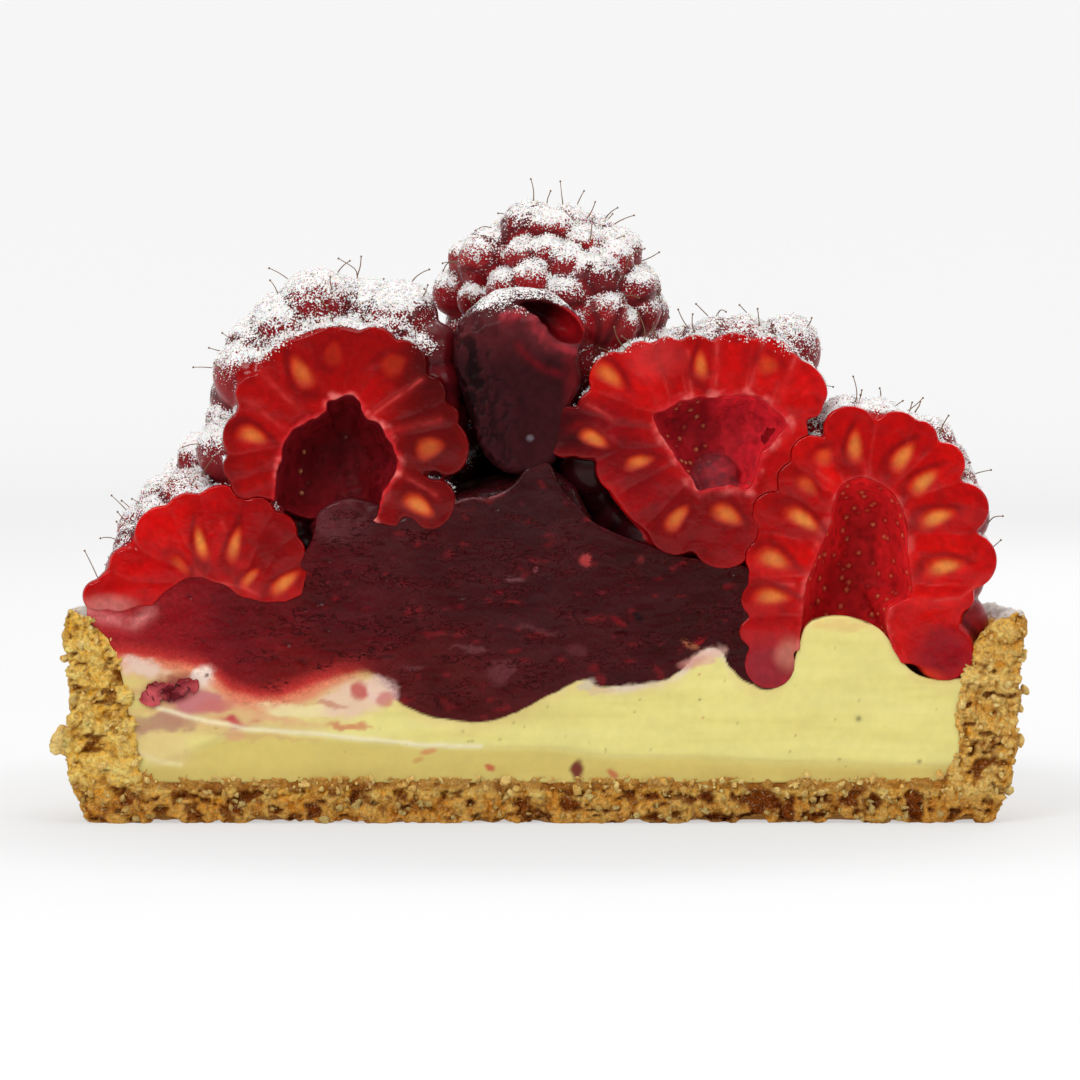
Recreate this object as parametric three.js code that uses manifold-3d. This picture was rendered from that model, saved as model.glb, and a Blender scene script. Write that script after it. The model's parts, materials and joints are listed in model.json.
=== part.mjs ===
// Half of a small raspberry tart, cut from rim to rim: a shortcrust shell, a custard layer, a cream
// layer, raspberry compote and a heap of raspberries, five of them cut through with the tart.
// Millimetres, +Z up. X runs along the cut face, which looks towards -Y. The half stands on z = 0.
import * as THREE from "three";
import { mergeVertices } from "three/addons/utils/BufferGeometryUtils.js";
import Module from "manifold-3d";

const wasm = await Module();
wasm.setup();

// Driving dimensions of the shell
const RIM_RADIUS = 40;
const SHELL_HEIGHT = 17.7;
const FOOT_RADIUS = 37.6;
const LIP_INNER_RADIUS = 35.4;
const WALL_INNER_RADIUS = 34.1;
const FLOOR_TOP = 3.8;
const CRUST_RELIEF = 0.45;
const SHELL_STEPS = 72;

// The cut passes just in front of the tart's axis
const AXIS_BEHIND_CUT = 1.5;
const CRUMBS_BEFORE_CUT = 0.5;
const CUT_Y = (CRUMBS_BEFORE_CUT - RIM_RADIUS - AXIS_BEHIND_CUT) / 2;
const AXIS_Y = CUT_Y + AXIS_BEHIND_CUT;

const GAP = 0.3;
const FAR = 120;

// Layers are worked out at columns that stand closer together near the cut, back past the wall
const CLOSER_TO_CUT = 1.6;
const COLUMNS_REACH = RIM_RADIUS + 5;

// How deep the filling reaches in under a cut berry's foot
const FOOT_DEPTH = 3;

// Drupelets stand this far above and the valleys between them this far below a berry's mean form
const DRUPELET_RISE = 0.68;
const DRUPELET_VALLEY = 0.6;
const PIP = { length: 3.2, width: 1.5, thickness: 1.0, sunk: 0.28 };

// Heights [x, z] where each layer's top meets the cut face, left to right
const CUSTARD_TOP = [
  [-36, 5.0], [-32.7, 5.4], [-25, 8.0], [-17, 7.1], [-10, 6.4], [0, 6.4], [5, 5.8], [36, 5.5],
];
const CREAM_TOP = [
  [-36, 13.4], [-30.2, 12.7], [-27, 11], [-25, 9.9], [-21.5, 10.4], [-18, 11.6], [-14.5, 12.2],
  [-12.3, 9.4], [-9.8, 8.6], [-5.5, 8.4], [-1.4, 9.8], [2.1, 11.6], [9.6, 11.8], [12.1, 13.5],
  [13.9, 14.5], [15.3, 12.8], [18.8, 11.1], [20.6, 13.2], [21.6, 16.4], [23.2, 17.2],
  [26.4, 16.8], [28.6, 15.2], [29.6, 13.1], [31.1, 11.4], [36, 11.4],
];
const COMPOTE_TOP = [
  [-36, 16.4], [-33.4, 17.6], [-31, 20], [-28.6, 20.8], [-21, 21.6], [-19.5, 24.5], [-17, 26.8],
  [-14.3, 25.5], [-12, 24.8], [-7.4, 26.6], [-3, 27.4], [-0.6, 29.4], [1.6, 27.8], [6.2, 24],
  [11.2, 22.2], [14.5, 19], [15.6, 14], [18, 9], [36, 8],
];

// Deep behind the cut each layer has its own plain form: heights at the axis and at the wall
const DEEP_CUSTARD = { middle: 6.2, wall: 6.2 };
const DEEP_CREAM = { middle: 9.5, wall: 12.7 };
const DEEP_COMPOTE = { middle: 31, wall: 15.8 };
const DEEP_RIPPLE = { height: 0.5, wavelength: 17 };

// How far behind the cut a layer still follows its cut edge
const CUSTARD_REACH = 12;
const CREAM_REACH = 9;

// Each berry: the centre of its open end (depth measured from the cut), the way its tip points,
// its size and rows of drupelets. Pips are [distance, degrees] about the middle of the cut face.
// Below its foot, a line of [x, z], the front of a berry is gone and the filling takes its place.
const BERRIES = [
  {
    name: "raspberry_right",
    base: [25.1, 0.8, 13.8],
    tip: [0.12, 0.08, 0.98],
    radius: 11.1,
    length: 21.4,
    rows: 5,
    around: 12,
    hollow: { radius: 4.7, depth: 16.6 },
    pipCentre: [26, 21.9],
    pips: [[9.6, 92], [9.2, 67], [8.5, 49], [7.6, 29], [7.3, -5], [6.1, 143], [7, 181], [7.8, 204]],
    lobes: [[19, 0.8, 13.1, 2.1], [30.9, 0.9, 14.8, 2.5], [32.6, 0.9, 13.3, 2.3]],
  },
  {
    name: "raspberry_upper_left",
    base: [-19.2, 0.8, 25.8],
    tip: [0.2, 0.34, 0.92],
    radius: 10.5,
    length: 20.4,
    rows: 5,
    around: 12,
    hollow: { radius: 5.4, depth: 13.5 },
    pipCentre: [-17, 31.8],
    pips: [[6.6, 119], [7.3, 177], [7.5, -5], [8.6, -40], [7.8, 54], [7.4, 94]],
    lobes: [],
  },
  {
    name: "raspberry_upper_right",
    base: [22, 1.4, 31.6],
    tip: [-0.97, 0.1, -0.12],
    radius: 10.9,
    length: 20.4,
    rows: 5,
    around: 12,
    hollow: { radius: 4.6, depth: 13.2 },
    pipCentre: [14.9, 31.8],
    pips: [[6.9, 111], [9.8, 150], [9.8, 180], [7.3, 194], [7.4, 238], [6.7, 272], [7.2, 60]],
    lobes: [[1.8, 0.9, 32.6, 1.9]],
  },
  {
    name: "raspberry_left",
    base: [-26.6, 12, 19.6],
    tip: [-0.05, -0.98, 0.12],
    radius: 8.9,
    length: 18.4,
    rows: 4,
    around: 11,
    hollow: null,
    pipCentre: [-26.9, 18.6],
    pips: [[4.9, 109], [4.9, 74], [5, 139], [4.4, 35], [5.6, 13]],
    lobes: [[-37.2, 0.9, 19.2, 1.9], [-34.6, 1.1, 20.6, 2.4], [-34.9, 1.2, 17.6, 2.2]],
    foot: [
      [-40, 16.4], [-36, 16.1], [-33.6, 17.1], [-31.3, 19.4], [-29.2, 20.5], [-26.5, 19.8],
      [-24.6, 18.6], [-22, 19.6], [-19.8, 20.2], [-17, 23],
    ],
  },
  {
    name: "raspberry_crown",
    base: [0.6, 13.2, 33.2],
    tip: [0.08, -0.06, 0.99],
    radius: 9,
    length: 17.9,
    rows: 5,
    around: 12,
  },
  {
    name: "raspberry_back_left",
    base: [-24.4, 14, 17],
    tip: [-0.12, 0.16, 0.98],
    radius: 8.8,
    length: 16,
    rows: 4,
    around: 9,
  },
  {
    name: "raspberry_back_right",
    base: [24.2, 15, 16.6],
    tip: [0.22, 0.3, 0.93],
    radius: 9.1,
    length: 17,
    rows: 4,
    around: 9,
  },
  {
    name: "raspberry_rear_left",
    base: [-10.4, 26, 17],
    tip: [-0.2, 0.42, 0.88],
    radius: 9,
    length: 16.6,
    rows: 4,
    around: 9,
  },
  {
    name: "raspberry_rear_right",
    base: [9.6, 26.4, 16.8],
    tip: [0.26, 0.4, 0.88],
    radius: 8.9,
    length: 16.4,
    rows: 4,
    around: 9,
  },
  {
    name: "raspberry_inner_left",
    base: [-11.6, 18.6, 24],
    tip: [-0.1, 0.1, 0.98],
    radius: 8.7,
    length: 15.6,
    rows: 4,
    around: 9,
  },
  {
    name: "raspberry_inner_right",
    base: [12.6, 19, 22.6],
    tip: [0.16, 0.12, 0.97],
    radius: 8.9,
    length: 16,
    rows: 4,
    around: 9,
  },
  {
    name: "raspberry_rear_top",
    base: [0.4, 24.6, 24],
    tip: [0.06, 0.34, 0.93],
    radius: 8.6,
    length: 15.8,
    rows: 4,
    around: 9,
  },
];

// The dark, jam-soaked berry in the middle of the cut: drawn in towards its foot by this share, and
// leaning back where its skin folds over
const DARK_BERRY = { centre: [-2.1, 2.6, 36.6], radii: [6.4, 7.4, 7.7], drawnIn: 0.34 };
const DARK_FOLD = { x: 1.3, width: 1.6, lean: 0.22 };

// A scrap of berry buried in the cream at the left wall
const BERRY_SCRAP = { centre: [-31.3, 0.6, 11], radii: [2.3, 3.4, 1.3] };

// Seeded random numbers, so that every build gives the same tart
function randomFrom(seed) {
  let state = seed;
  return () => {
    state = (state + 0x6d2b79f5) | 0;
    let mixed = Math.imul(state ^ (state >>> 15), 1 | state);
    mixed = (mixed + Math.imul(mixed ^ (mixed >>> 7), 61 | mixed)) ^ mixed;
    return ((mixed ^ (mixed >>> 14)) >>> 0) / 4294967296;
  };
}

function between(random, low, high) {
  return low + (high - low) * random();
}

// An uneven wave between -1 and 1, for relief
function ripple(point, wavelength) {
  const k = (2 * Math.PI) / wavelength;
  const a = Math.sin(k * point.x + 1.9 * Math.sin(0.7 * k * point.y));
  const b = Math.sin(0.9 * k * point.y + 1.7 * Math.sin(0.8 * k * point.z));
  const c = Math.sin(1.1 * k * point.z + 1.5 * Math.sin(0.6 * k * point.x));
  return (a + b + c) / 3;
}

// Solids from three.js geometry

function merged(geometry) {
  geometry.deleteAttribute("normal");
  geometry.deleteAttribute("uv");
  return mergeVertices(geometry, 1e-4);
}

function solidOf(geometry) {
  const whole = merged(geometry);
  return new wasm.Manifold(
    new wasm.Mesh({
      numProp: 3,
      vertProperties: new Float32Array(whole.attributes.position.array),
      triVerts: new Uint32Array(whole.index.array),
    }),
  );
}

// Cutting can leave loose scraps, so only the largest body is kept
function largestBody(solid) {
  const bodies = solid.decompose();
  return bodies.reduce((best, body) => (body.volume() > best.volume() ? body : best));
}

function joined(solids) {
  return solids.reduce((whole, next) => whole.add(next));
}

// A point on the cut face's side of things: x, depth behind the cut, height
function placeOf([x, depth, z]) {
  return new THREE.Vector3(x, CUT_Y + depth, z);
}

function moveVertices(geometry, move) {
  const positions = geometry.attributes.position;
  const point = new THREE.Vector3();
  for (let i = 0; i < positions.count; i += 1) {
    point.fromBufferAttribute(positions, i);
    move(point, i);
    positions.setXYZ(i, point.x, point.y, point.z);
  }
  return geometry;
}

// A turned shape about the tart's own axis, from [radius, height] points
function turned(profile, steps, move = () => {}) {
  const points = profile.map(([radius, height]) => new THREE.Vector2(radius, height));
  const geometry = new THREE.LatheGeometry(points, steps);
  geometry.rotateX(Math.PI / 2);
  moveVertices(geometry, (point, i) => move(point, i % profile.length));
  geometry.translate(0, AXIS_Y, 0);
  return solidOf(geometry);
}

// Everything behind the cut
function behindCut() {
  const block = new THREE.BoxGeometry(FAR, FAR, FAR);
  block.translate(0, CUT_Y + FAR / 2, 0);
  return solidOf(block);
}

// Everything under a surface z = heightAt(x, y), with a step at each named x of its cut edge and
// closer steps near the cut
function underSurface(heightAt, cutEdge, stepsDeep) {
  const columns = [-RIM_RADIUS, ...cutEdge.map(([x]) => x), RIM_RADIUS];
  const block = new THREE.BoxGeometry(1, 1, 1, columns.length - 1, stepsDeep, 1);
  moveVertices(block, (point) => {
    point.x = columns[Math.round((point.x + 0.5) * (columns.length - 1))];
    point.y = CUT_Y - 1 + COLUMNS_REACH * (point.y + 0.5) ** CLOSER_TO_CUT;
    point.z = point.z > 0 ? heightAt(point.x, point.y) : -FAR / 2;
  });
  return solidOf(block);
}

// The room in front of a berry's back and under its foot line
function underFoot(foot, extra) {
  const outline = new THREE.Shape();
  outline.moveTo(foot[0][0], -FAR / 2);
  for (const [x, z] of foot) outline.lineTo(x, z - extra);
  outline.lineTo(foot.at(-1)[0], -FAR / 2);
  const block = new THREE.ExtrudeGeometry(outline, { depth: FOOT_DEPTH + 1 - extra, bevelEnabled: false });
  block.rotateX(Math.PI / 2);
  block.translate(0, CUT_Y + FOOT_DEPTH - extra, 0);
  return solidOf(block);
}

// Shell

const OUTER_PROFILE = [
  [FOOT_RADIUS - 1, 0],
  [FOOT_RADIUS, 0.9],
  [FOOT_RADIUS + 0.9, 3.2],
  [FOOT_RADIUS + 1.6, 6.6],
  [RIM_RADIUS - 0.7, 10.2],
  [RIM_RADIUS - 0.5, 13.8],
  [RIM_RADIUS - 0.1, 16.8],
  [RIM_RADIUS - 0.7, SHELL_HEIGHT],
];
const INNER_PROFILE = [
  [LIP_INNER_RADIUS + 2.6, SHELL_HEIGHT - 0.6],
  [LIP_INNER_RADIUS + 0.9, SHELL_HEIGHT - 1.9],
  [LIP_INNER_RADIUS, SHELL_HEIGHT - 3.4],
  [WALL_INNER_RADIUS + 0.5, 11.8],
  [WALL_INNER_RADIUS, 8.4],
  [WALL_INNER_RADIUS - 0.2, 5.8],
  [WALL_INNER_RADIUS - 1.1, 4.5],
  [WALL_INNER_RADIUS - 2.4, FLOOR_TOP],
];

// The outer wall and the rim are uneven; the foot and the inside stay true
function shellRelief(point, row) {
  const lastUneven = OUTER_PROFILE.length + 1;
  if (row < 2 || row > lastUneven) return;
  const radius = Math.hypot(point.x, point.y);
  const swell = CRUST_RELIEF * (0.6 * ripple(point, 7) + 0.5 * ripple(point, 3.1));
  point.x *= (radius + swell - 0.15) / radius;
  point.y *= (radius + swell - 0.15) / radius;
  if (row > OUTER_PROFILE.length - 2) point.z += 0.8 * CRUST_RELIEF * ripple(point, 4.3);
}

function rawShell() {
  const profile = [[0, 0], ...OUTER_PROFILE, ...INNER_PROFILE, [0, FLOOR_TOP]];
  return turned(profile, SHELL_STEPS, shellRelief);
}

// The room inside the shell, up past the heap
function insideShell() {
  const wall = INNER_PROFILE.map(([radius, height]) => [radius - GAP, height + GAP]).reverse();
  const rimRoom = [LIP_INNER_RADIUS + 2.6 - GAP, FAR / 2];
  return turned([[0, FLOOR_TOP + GAP], ...wall, rimRoom, [0, FAR / 2]], SHELL_STEPS);
}

// The shell's outer form with a gap round it, for what hangs over the rim
function grownShell() {
  const outer = OUTER_PROFILE.map(([radius, height]) => [radius + GAP, height + GAP]);
  const inner = INNER_PROFILE.map(([radius, height]) => [radius - GAP, height + GAP]);
  return turned([[0, -1], ...outer, ...inner, [0, FLOOR_TOP + GAP]], SHELL_STEPS);
}

// A crumb or a pit: a small uneven lump
function lump(random, place, size) {
  const geometry = merged(new THREE.OctahedronGeometry(size, size > 0.8 ? 1 : 0));
  moveVertices(geometry, (point) => point.multiplyScalar(between(random, 0.75, 1.25)));
  geometry.scale(between(random, 0.8, 1.5), 1, between(random, 0.7, 1.2));
  geometry.rotateY(between(random, 0, Math.PI));
  geometry.rotateZ(between(random, 0, Math.PI));
  geometry.translate(place.x, place.y, place.z);
  return solidOf(geometry);
}

// A random place on the shell's cut face, clear of its inner edge by the margin
function placeOnCutShell(random, margin) {
  const onWall = random() < 0.62;
  const side = random() < 0.5 ? -1 : 1;
  if (onWall) {
    const z = between(random, 1, SHELL_HEIGHT - 1.5);
    const inner = z > 12 ? LIP_INNER_RADIUS : WALL_INNER_RADIUS;
    const outer = z < 6 ? FOOT_RADIUS : RIM_RADIUS - 0.8;
    return [side * between(random, inner + margin, outer - 0.3), z];
  }
  return [between(random, -FOOT_RADIUS + 2, FOOT_RADIUS - 2), between(random, 0.1, FLOOR_TOP - margin)];
}

const PIT_COUNT = 24;
const CUT_CRUMB_COUNT = 18;
const WALL_CRUMB_COUNT = 10;
const FOOT_NOTCH_COUNT = 8;

function shell() {
  const random = randomFrom(11);
  const pits = [];
  for (let i = 0; i < PIT_COUNT; i += 1) {
    const size = between(random, 0.35, 0.85);
    const [x, z] = placeOnCutShell(random, size + 0.45);
    pits.push(lump(random, placeOf([x, 0.05, z]), size));
  }
  for (let i = 0; i < FOOT_NOTCH_COUNT; i += 1) {
    const x = between(random, -FOOT_RADIUS, FOOT_RADIUS);
    pits.push(lump(random, placeOf([x, 0, 0]), between(random, 0.3, 0.62)));
  }
  const crumbs = [];
  for (let i = 0; i < CUT_CRUMB_COUNT; i += 1) {
    const size = between(random, 0.3, 0.62);
    const [x, z] = placeOnCutShell(random, size + 0.35);
    crumbs.push(lump(random, placeOf([x, 0.12, Math.max(z, size + 0.1)]), size));
  }
  for (let i = 0; i < WALL_CRUMB_COUNT; i += 1) {
    const angle = between(random, 0, Math.PI);
    const z = between(random, 2.5, SHELL_HEIGHT - 1);
    const radius = z < 6 ? FOOT_RADIUS + 0.7 : RIM_RADIUS - 0.7;
    const place = new THREE.Vector3(radius * Math.cos(angle), AXIS_Y + radius * Math.sin(angle), z);
    crumbs.push(lump(random, place, between(random, 0.4, 0.8)));
  }
  // Crumb clusters that stick out of the left and right walls at the cut
  const clusters = [[-39.4, 6.6, 0.95], [-39.9, 5.8, 0.7], [39.5, 14, 0.7], [39.2, 6.8, 0.75]];
  for (const [x, z, size] of clusters) crumbs.push(lump(random, placeOf([x, 0.9, z]), size));
  const cut = rawShell().intersect(behindCut());
  return largestBody(cut.subtract(joined(pits)).add(joined(crumbs)));
}

// Layers

// Straight runs between named heights along the cut
function heightAlong(points, x) {
  const next = Math.max(1, points.findIndex(([along]) => along >= x));
  const [x0, z0] = points[next - 1];
  const [x1, z1] = points[next];
  return z0 + ((z1 - z0) * (x - x0)) / (x1 - x0);
}

// Near the cut a layer follows its cut edge, and deeper in it takes its plain form
function layerHeight(cutEdge, reach, deep) {
  const ends = [cutEdge[0][0], cutEdge.at(-1)[0]];
  return (x, y) => {
    const depth = Math.max(0, y - CUT_Y);
    const share = Math.exp(-((depth / reach) ** 2));
    const atCut = heightAlong(cutEdge, THREE.MathUtils.clamp(x, ...ends));
    const outwards = (Math.hypot(x, y - AXIS_Y) / WALL_INNER_RADIUS) ** 2;
    const plain = deep.middle + (deep.wall - deep.middle) * outwards;
    const swell = DEEP_RIPPLE.height * ripple({ x, y, z: 0 }, DEEP_RIPPLE.wavelength);
    return share * atCut + (1 - share) * (plain + swell);
  };
}

const custardHeight = layerHeight(CUSTARD_TOP, CUSTARD_REACH, DEEP_CUSTARD);
const creamHeight = layerHeight(CREAM_TOP, CREAM_REACH, DEEP_CREAM);
const compoteHeight = layerHeight(COMPOTE_TOP, CREAM_REACH, DEEP_COMPOTE);

function underCustard(extra) {
  return underSurface((x, y) => custardHeight(x, y) + extra, CUSTARD_TOP, 2);
}

function underCream(extra) {
  return underSurface((x, y) => creamHeight(x, y) + extra, CREAM_TOP, 3);
}

function custard(inside) {
  return largestBody(inside.intersect(underCustard(0)));
}

function cream(inside, obstacles) {
  return largestBody(inside.intersect(underCream(0)).subtract(underCustard(GAP)).subtract(obstacles));
}

function compote(inside, obstacles) {
  const top = underSurface(compoteHeight, COMPOTE_TOP, 3);
  return largestBody(inside.intersect(top).subtract(underCream(GAP)).subtract(obstacles));
}

// Raspberries

// Mean radius at a share of the length, from the open end to the tip
function berryRadius(berry, share) {
  const shoulder = 0.28;
  if (share < shoulder) return berry.radius * (0.86 + 0.14 * Math.sin((share / shoulder) * (Math.PI / 2)));
  const towardsTip = (share - shoulder) / (1 - shoulder);
  return berry.radius * Math.sqrt(Math.max(0, 1 - towardsTip ** 2.3));
}

// Puts a shape made along +Y where the berry is, with its tip the right way
function atBerry(geometry, berry) {
  const up = new THREE.Vector3(0, 1, 0);
  const tip = new THREE.Vector3(...berry.tip).normalize();
  geometry.applyQuaternion(new THREE.Quaternion().setFromUnitVectors(up, tip));
  const place = placeOf(berry.base);
  geometry.translate(place.x, place.y, place.z);
  return geometry;
}

// Whether a vertex of the staggered grid is the top of a drupelet
function isCrest(ring, column) {
  return ring % 2 === 1 && (column + (ring - 1) / 2) % 2 === 0;
}

// Splits each four-sided field of the grid from the drupelet top at its corner
function splitFromCrests(geometry, rows, columns) {
  const triangles = [];
  for (let column = 0; column < columns; column += 1) {
    for (let row = 0; row < rows - 1; row += 1) {
      const a = column * rows + row;
      const b = a + rows;
      const ring = row - 1;
      const fromA = isCrest(ring, column) || isCrest(ring + 1, column + 1);
      if (fromA) triangles.push(a, b, b + 1, a, b + 1, a + 1);
      else triangles.push(a, b, a + 1, b, b + 1, a + 1);
    }
  }
  geometry.setIndex(triangles);
}

// Rings of drupelets, staggered row by row, on the berry's mean form
function berryBody(berry, extra, seed) {
  const random = randomFrom(seed);
  const rings = 2 * berry.rows;
  const profile = [new THREE.Vector2(0, -extra)];
  for (let ring = 0; ring < rings; ring += 1) {
    const along = ring / rings;
    profile.push(new THREE.Vector2(berryRadius(berry, along), along * berry.length));
  }
  profile.push(new THREE.Vector2(0, berry.length + extra));
  const columns = 2 * berry.around;
  const rises = Array.from({ length: rings * columns }, () => between(random, 0.7, HIGHEST_RISE));
  const geometry = new THREE.LatheGeometry(profile, columns);
  splitFromCrests(geometry, profile.length, columns);
  moveVertices(geometry, (point, i) => {
    const ring = (i % profile.length) - 1;
    const column = Math.floor(i / profile.length) % columns;
    if (ring < 0 || ring >= rings) return;
    const rise = DRUPELET_RISE * rises[ring * columns + column];
    const move = isCrest(ring, column) ? rise : -DRUPELET_VALLEY;
    const radius = Math.hypot(point.x, point.z);
    point.x *= (radius + move + extra) / radius;
    point.z *= (radius + move + extra) / radius;
  });
  return solidOf(atBerry(geometry, berry));
}

function berryHollow(berry, extra) {
  const { radius, depth } = berry.hollow;
  const profile = [[0, -2], [1.05, -2], [1.05, 0], [1, 0.35], [0.86, 0.62], [0.55, 0.88], [0, 1]];
  const points = profile.map(
    ([across, along]) => new THREE.Vector2(across * radius - (across ? extra : 0), along * (depth - extra)),
  );
  return solidOf(atBerry(new THREE.LatheGeometry(points, 10), berry));
}

function ball([x, depth, z, radius], extra) {
  const place = placeOf([x, depth, z]);
  const geometry = new THREE.OctahedronGeometry(radius + extra, 1);
  geometry.translate(place.x, place.y, place.z);
  return solidOf(geometry);
}

// The plain form that holds a whole berry and its gap, for cutting what it touches out of sight
const ROOM_SHARES = [0, 0.2, 0.5, 0.75, 0.92];
const HIGHEST_RISE = 1.2;

function plainRoom(berry) {
  const clear = HIGHEST_RISE * DRUPELET_RISE + GAP + 0.2;
  const wall = ROOM_SHARES.map(
    (share) => new THREE.Vector2(berryRadius(berry, share) + clear, share * (berry.length + clear)),
  );
  const ends = [new THREE.Vector2(0, -GAP), new THREE.Vector2(0, berry.length + clear)];
  wall[0].y = -GAP;
  return solidOf(atBerry(new THREE.LatheGeometry([ends[0], ...wall, ends[1]], 14), berry));
}

// A cut berry with a close gap round it, for cutting what it touches in sight
function grownBerry(berry, seed) {
  if (!berry.pips) return plainRoom(berry);
  let whole = berryBody(berry, GAP, seed);
  for (const lobe of berry.lobes) whole = whole.add(ball(lobe, GAP));
  if (berry.foot) whole = whole.subtract(underFoot(berry.foot, GAP));
  return berry.hollow ? whole.subtract(berryHollow(berry, GAP)) : whole;
}

// The pips that the cut shows, standing just proud of the cut face
function pip([distance, degrees], [centreX, centreZ]) {
  const angle = THREE.MathUtils.degToRad(degrees);
  const geometry = new THREE.IcosahedronGeometry(0.5, 0);
  geometry.scale(PIP.length, PIP.thickness, PIP.width);
  geometry.rotateY(-angle);
  const x = centreX + distance * Math.cos(angle);
  const z = centreZ + distance * Math.sin(angle);
  const place = placeOf([x, PIP.sunk, z]);
  geometry.translate(place.x, place.y, place.z);
  return solidOf(geometry);
}

function berrySolid(berry, seed, obstacles) {
  let whole = berryBody(berry, 0, seed);
  for (const lobe of berry.lobes ?? []) whole = whole.add(ball(lobe, 0));
  if (berry.hollow) whole = whole.subtract(berryHollow(berry, 0));
  if (berry.foot) whole = whole.subtract(underFoot(berry.foot, 0));
  const form = whole;
  whole = whole.intersect(behindCut());
  for (const seen of berry.pips ?? []) whole = whole.add(pip(seen, berry.pipCentre).intersect(form));
  return largestBody(whole.subtract(obstacles));
}

function ellipsoid({ centre, radii }, extra, detail) {
  const geometry = new THREE.IcosahedronGeometry(1, detail);
  geometry.scale(radii[0] + extra, radii[1] + extra, radii[2] + extra);
  const place = placeOf(centre);
  geometry.translate(place.x, place.y, place.z);
  return geometry;
}

// The dark berry is drawn in towards its foot, and its skin folds over at the upper right
function darkBerryBody(extra) {
  const geometry = merged(ellipsoid(DARK_BERRY, extra, 2));
  const middle = placeOf(DARK_BERRY.centre);
  moveVertices(geometry, (point) => {
    const below = Math.max(0, (middle.z - point.z) / DARK_BERRY.radii[2]);
    point.x = middle.x + (point.x - middle.x) * (1 - DARK_BERRY.drawnIn * below);
    const nearFold = Math.exp(-(((point.x - DARK_FOLD.x) / DARK_FOLD.width) ** 2));
    point.y += DARK_FOLD.lean * nearFold * Math.max(0, point.z - middle.z);
  });
  return solidOf(geometry);
}

// Materials

function finish(color, roughness) {
  return new THREE.MeshStandardMaterial({ color, roughness, metalness: 0 });
}

const crustFinish = finish("#cf9a4e", 0.9);
const custardFinish = finish("#d8cb82", 0.45);
const creamFinish = finish("#e6dd98", 0.45);
const compoteFinish = finish("#4a1a20", 0.15);
const raspberryFinish = finish("#b4141c", 0.3);
const darkBerryFinish = finish("#421a20", 0.25);

// The tart

const tart = new THREE.Group();

function addPiece(name, solid, material) {
  const { vertProperties, triVerts, numProp } = solid.getMesh();
  const geometry = new THREE.BufferGeometry();
  geometry.setAttribute("position", new THREE.BufferAttribute(vertProperties, numProp));
  geometry.setIndex(new THREE.BufferAttribute(triVerts, 1));
  geometry.computeVertexNormals();
  const mesh = new THREE.Mesh(geometry, material);
  mesh.name = name;
  tart.add(mesh);
}

const inside = insideShell().intersect(behindCut());
addPiece("crust", shell(), crustFinish);

// Each berry is cut clear of the ones placed before it, closely where the cut face shows it
let taken = grownShell();
let takenOutOfSight = taken;
BERRIES.forEach((berry, i) => {
  const obstacles = berry.pips ? taken : takenOutOfSight;
  addPiece(berry.name, berrySolid(berry, 100 + i, obstacles), raspberryFinish);
  taken = taken.add(grownBerry(berry, 100 + i));
  takenOutOfSight = takenOutOfSight.add(plainRoom(berry));
});
const darkBerry = darkBerryBody(0).intersect(behindCut()).subtract(taken);
addPiece("dark_berry", largestBody(darkBerry), darkBerryFinish);
taken = taken.add(darkBerryBody(GAP));

const scrap = solidOf(ellipsoid(BERRY_SCRAP, 0, 1)).intersect(inside);
addPiece("berry_scrap", largestBody(scrap), raspberryFinish);
taken = taken.add(solidOf(ellipsoid(BERRY_SCRAP, GAP, 1)));

addPiece("custard", custard(inside), custardFinish);
addPiece("cream", cream(inside, taken), creamFinish);
addPiece("compote", compote(inside, taken), compoteFinish);

export default tart;
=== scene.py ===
"""Half of a small raspberry tart, cut from rim to rim, dressed over its solids.

Lengths in the modelling functions are millimetres, in the solids' own frame: X runs along the cut
face, which looks towards -Y, and the half stands on z = 0. Each finished piece is brought to metres
by settle().
"""
import itertools
import json
import math

import bpy
import numpy as np
from bpy.props import FloatProperty, FloatVectorProperty, IntProperty, PointerProperty
from mathutils import Matrix, Vector

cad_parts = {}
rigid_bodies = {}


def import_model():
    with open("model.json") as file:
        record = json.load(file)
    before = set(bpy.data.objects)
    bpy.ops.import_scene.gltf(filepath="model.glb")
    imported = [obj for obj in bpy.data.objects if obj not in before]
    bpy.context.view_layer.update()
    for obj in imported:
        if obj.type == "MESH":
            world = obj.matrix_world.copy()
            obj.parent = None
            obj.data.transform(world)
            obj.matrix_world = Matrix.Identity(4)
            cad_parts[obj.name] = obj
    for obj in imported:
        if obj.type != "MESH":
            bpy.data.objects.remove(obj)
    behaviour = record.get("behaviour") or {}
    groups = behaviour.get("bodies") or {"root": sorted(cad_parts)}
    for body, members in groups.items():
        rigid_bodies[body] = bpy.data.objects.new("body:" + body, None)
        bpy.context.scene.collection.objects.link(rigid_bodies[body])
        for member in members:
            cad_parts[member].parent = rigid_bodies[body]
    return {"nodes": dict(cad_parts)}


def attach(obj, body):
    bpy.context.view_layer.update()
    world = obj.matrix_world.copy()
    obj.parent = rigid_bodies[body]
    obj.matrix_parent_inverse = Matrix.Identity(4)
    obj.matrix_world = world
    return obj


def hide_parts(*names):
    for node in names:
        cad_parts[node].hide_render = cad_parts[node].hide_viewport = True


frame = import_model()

bl_info = {
    "name": "Raspberry Tart Half",
    "version": (1, 0, 0),
    "blender": (4, 5, 0),
    "location": "View3D > Sidebar > Tart",
    "description": "Builds the baked shell, fillings, berries, sugar and stage of a cut raspberry tart",
    "category": "Object",
}

MM = 0.001

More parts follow.
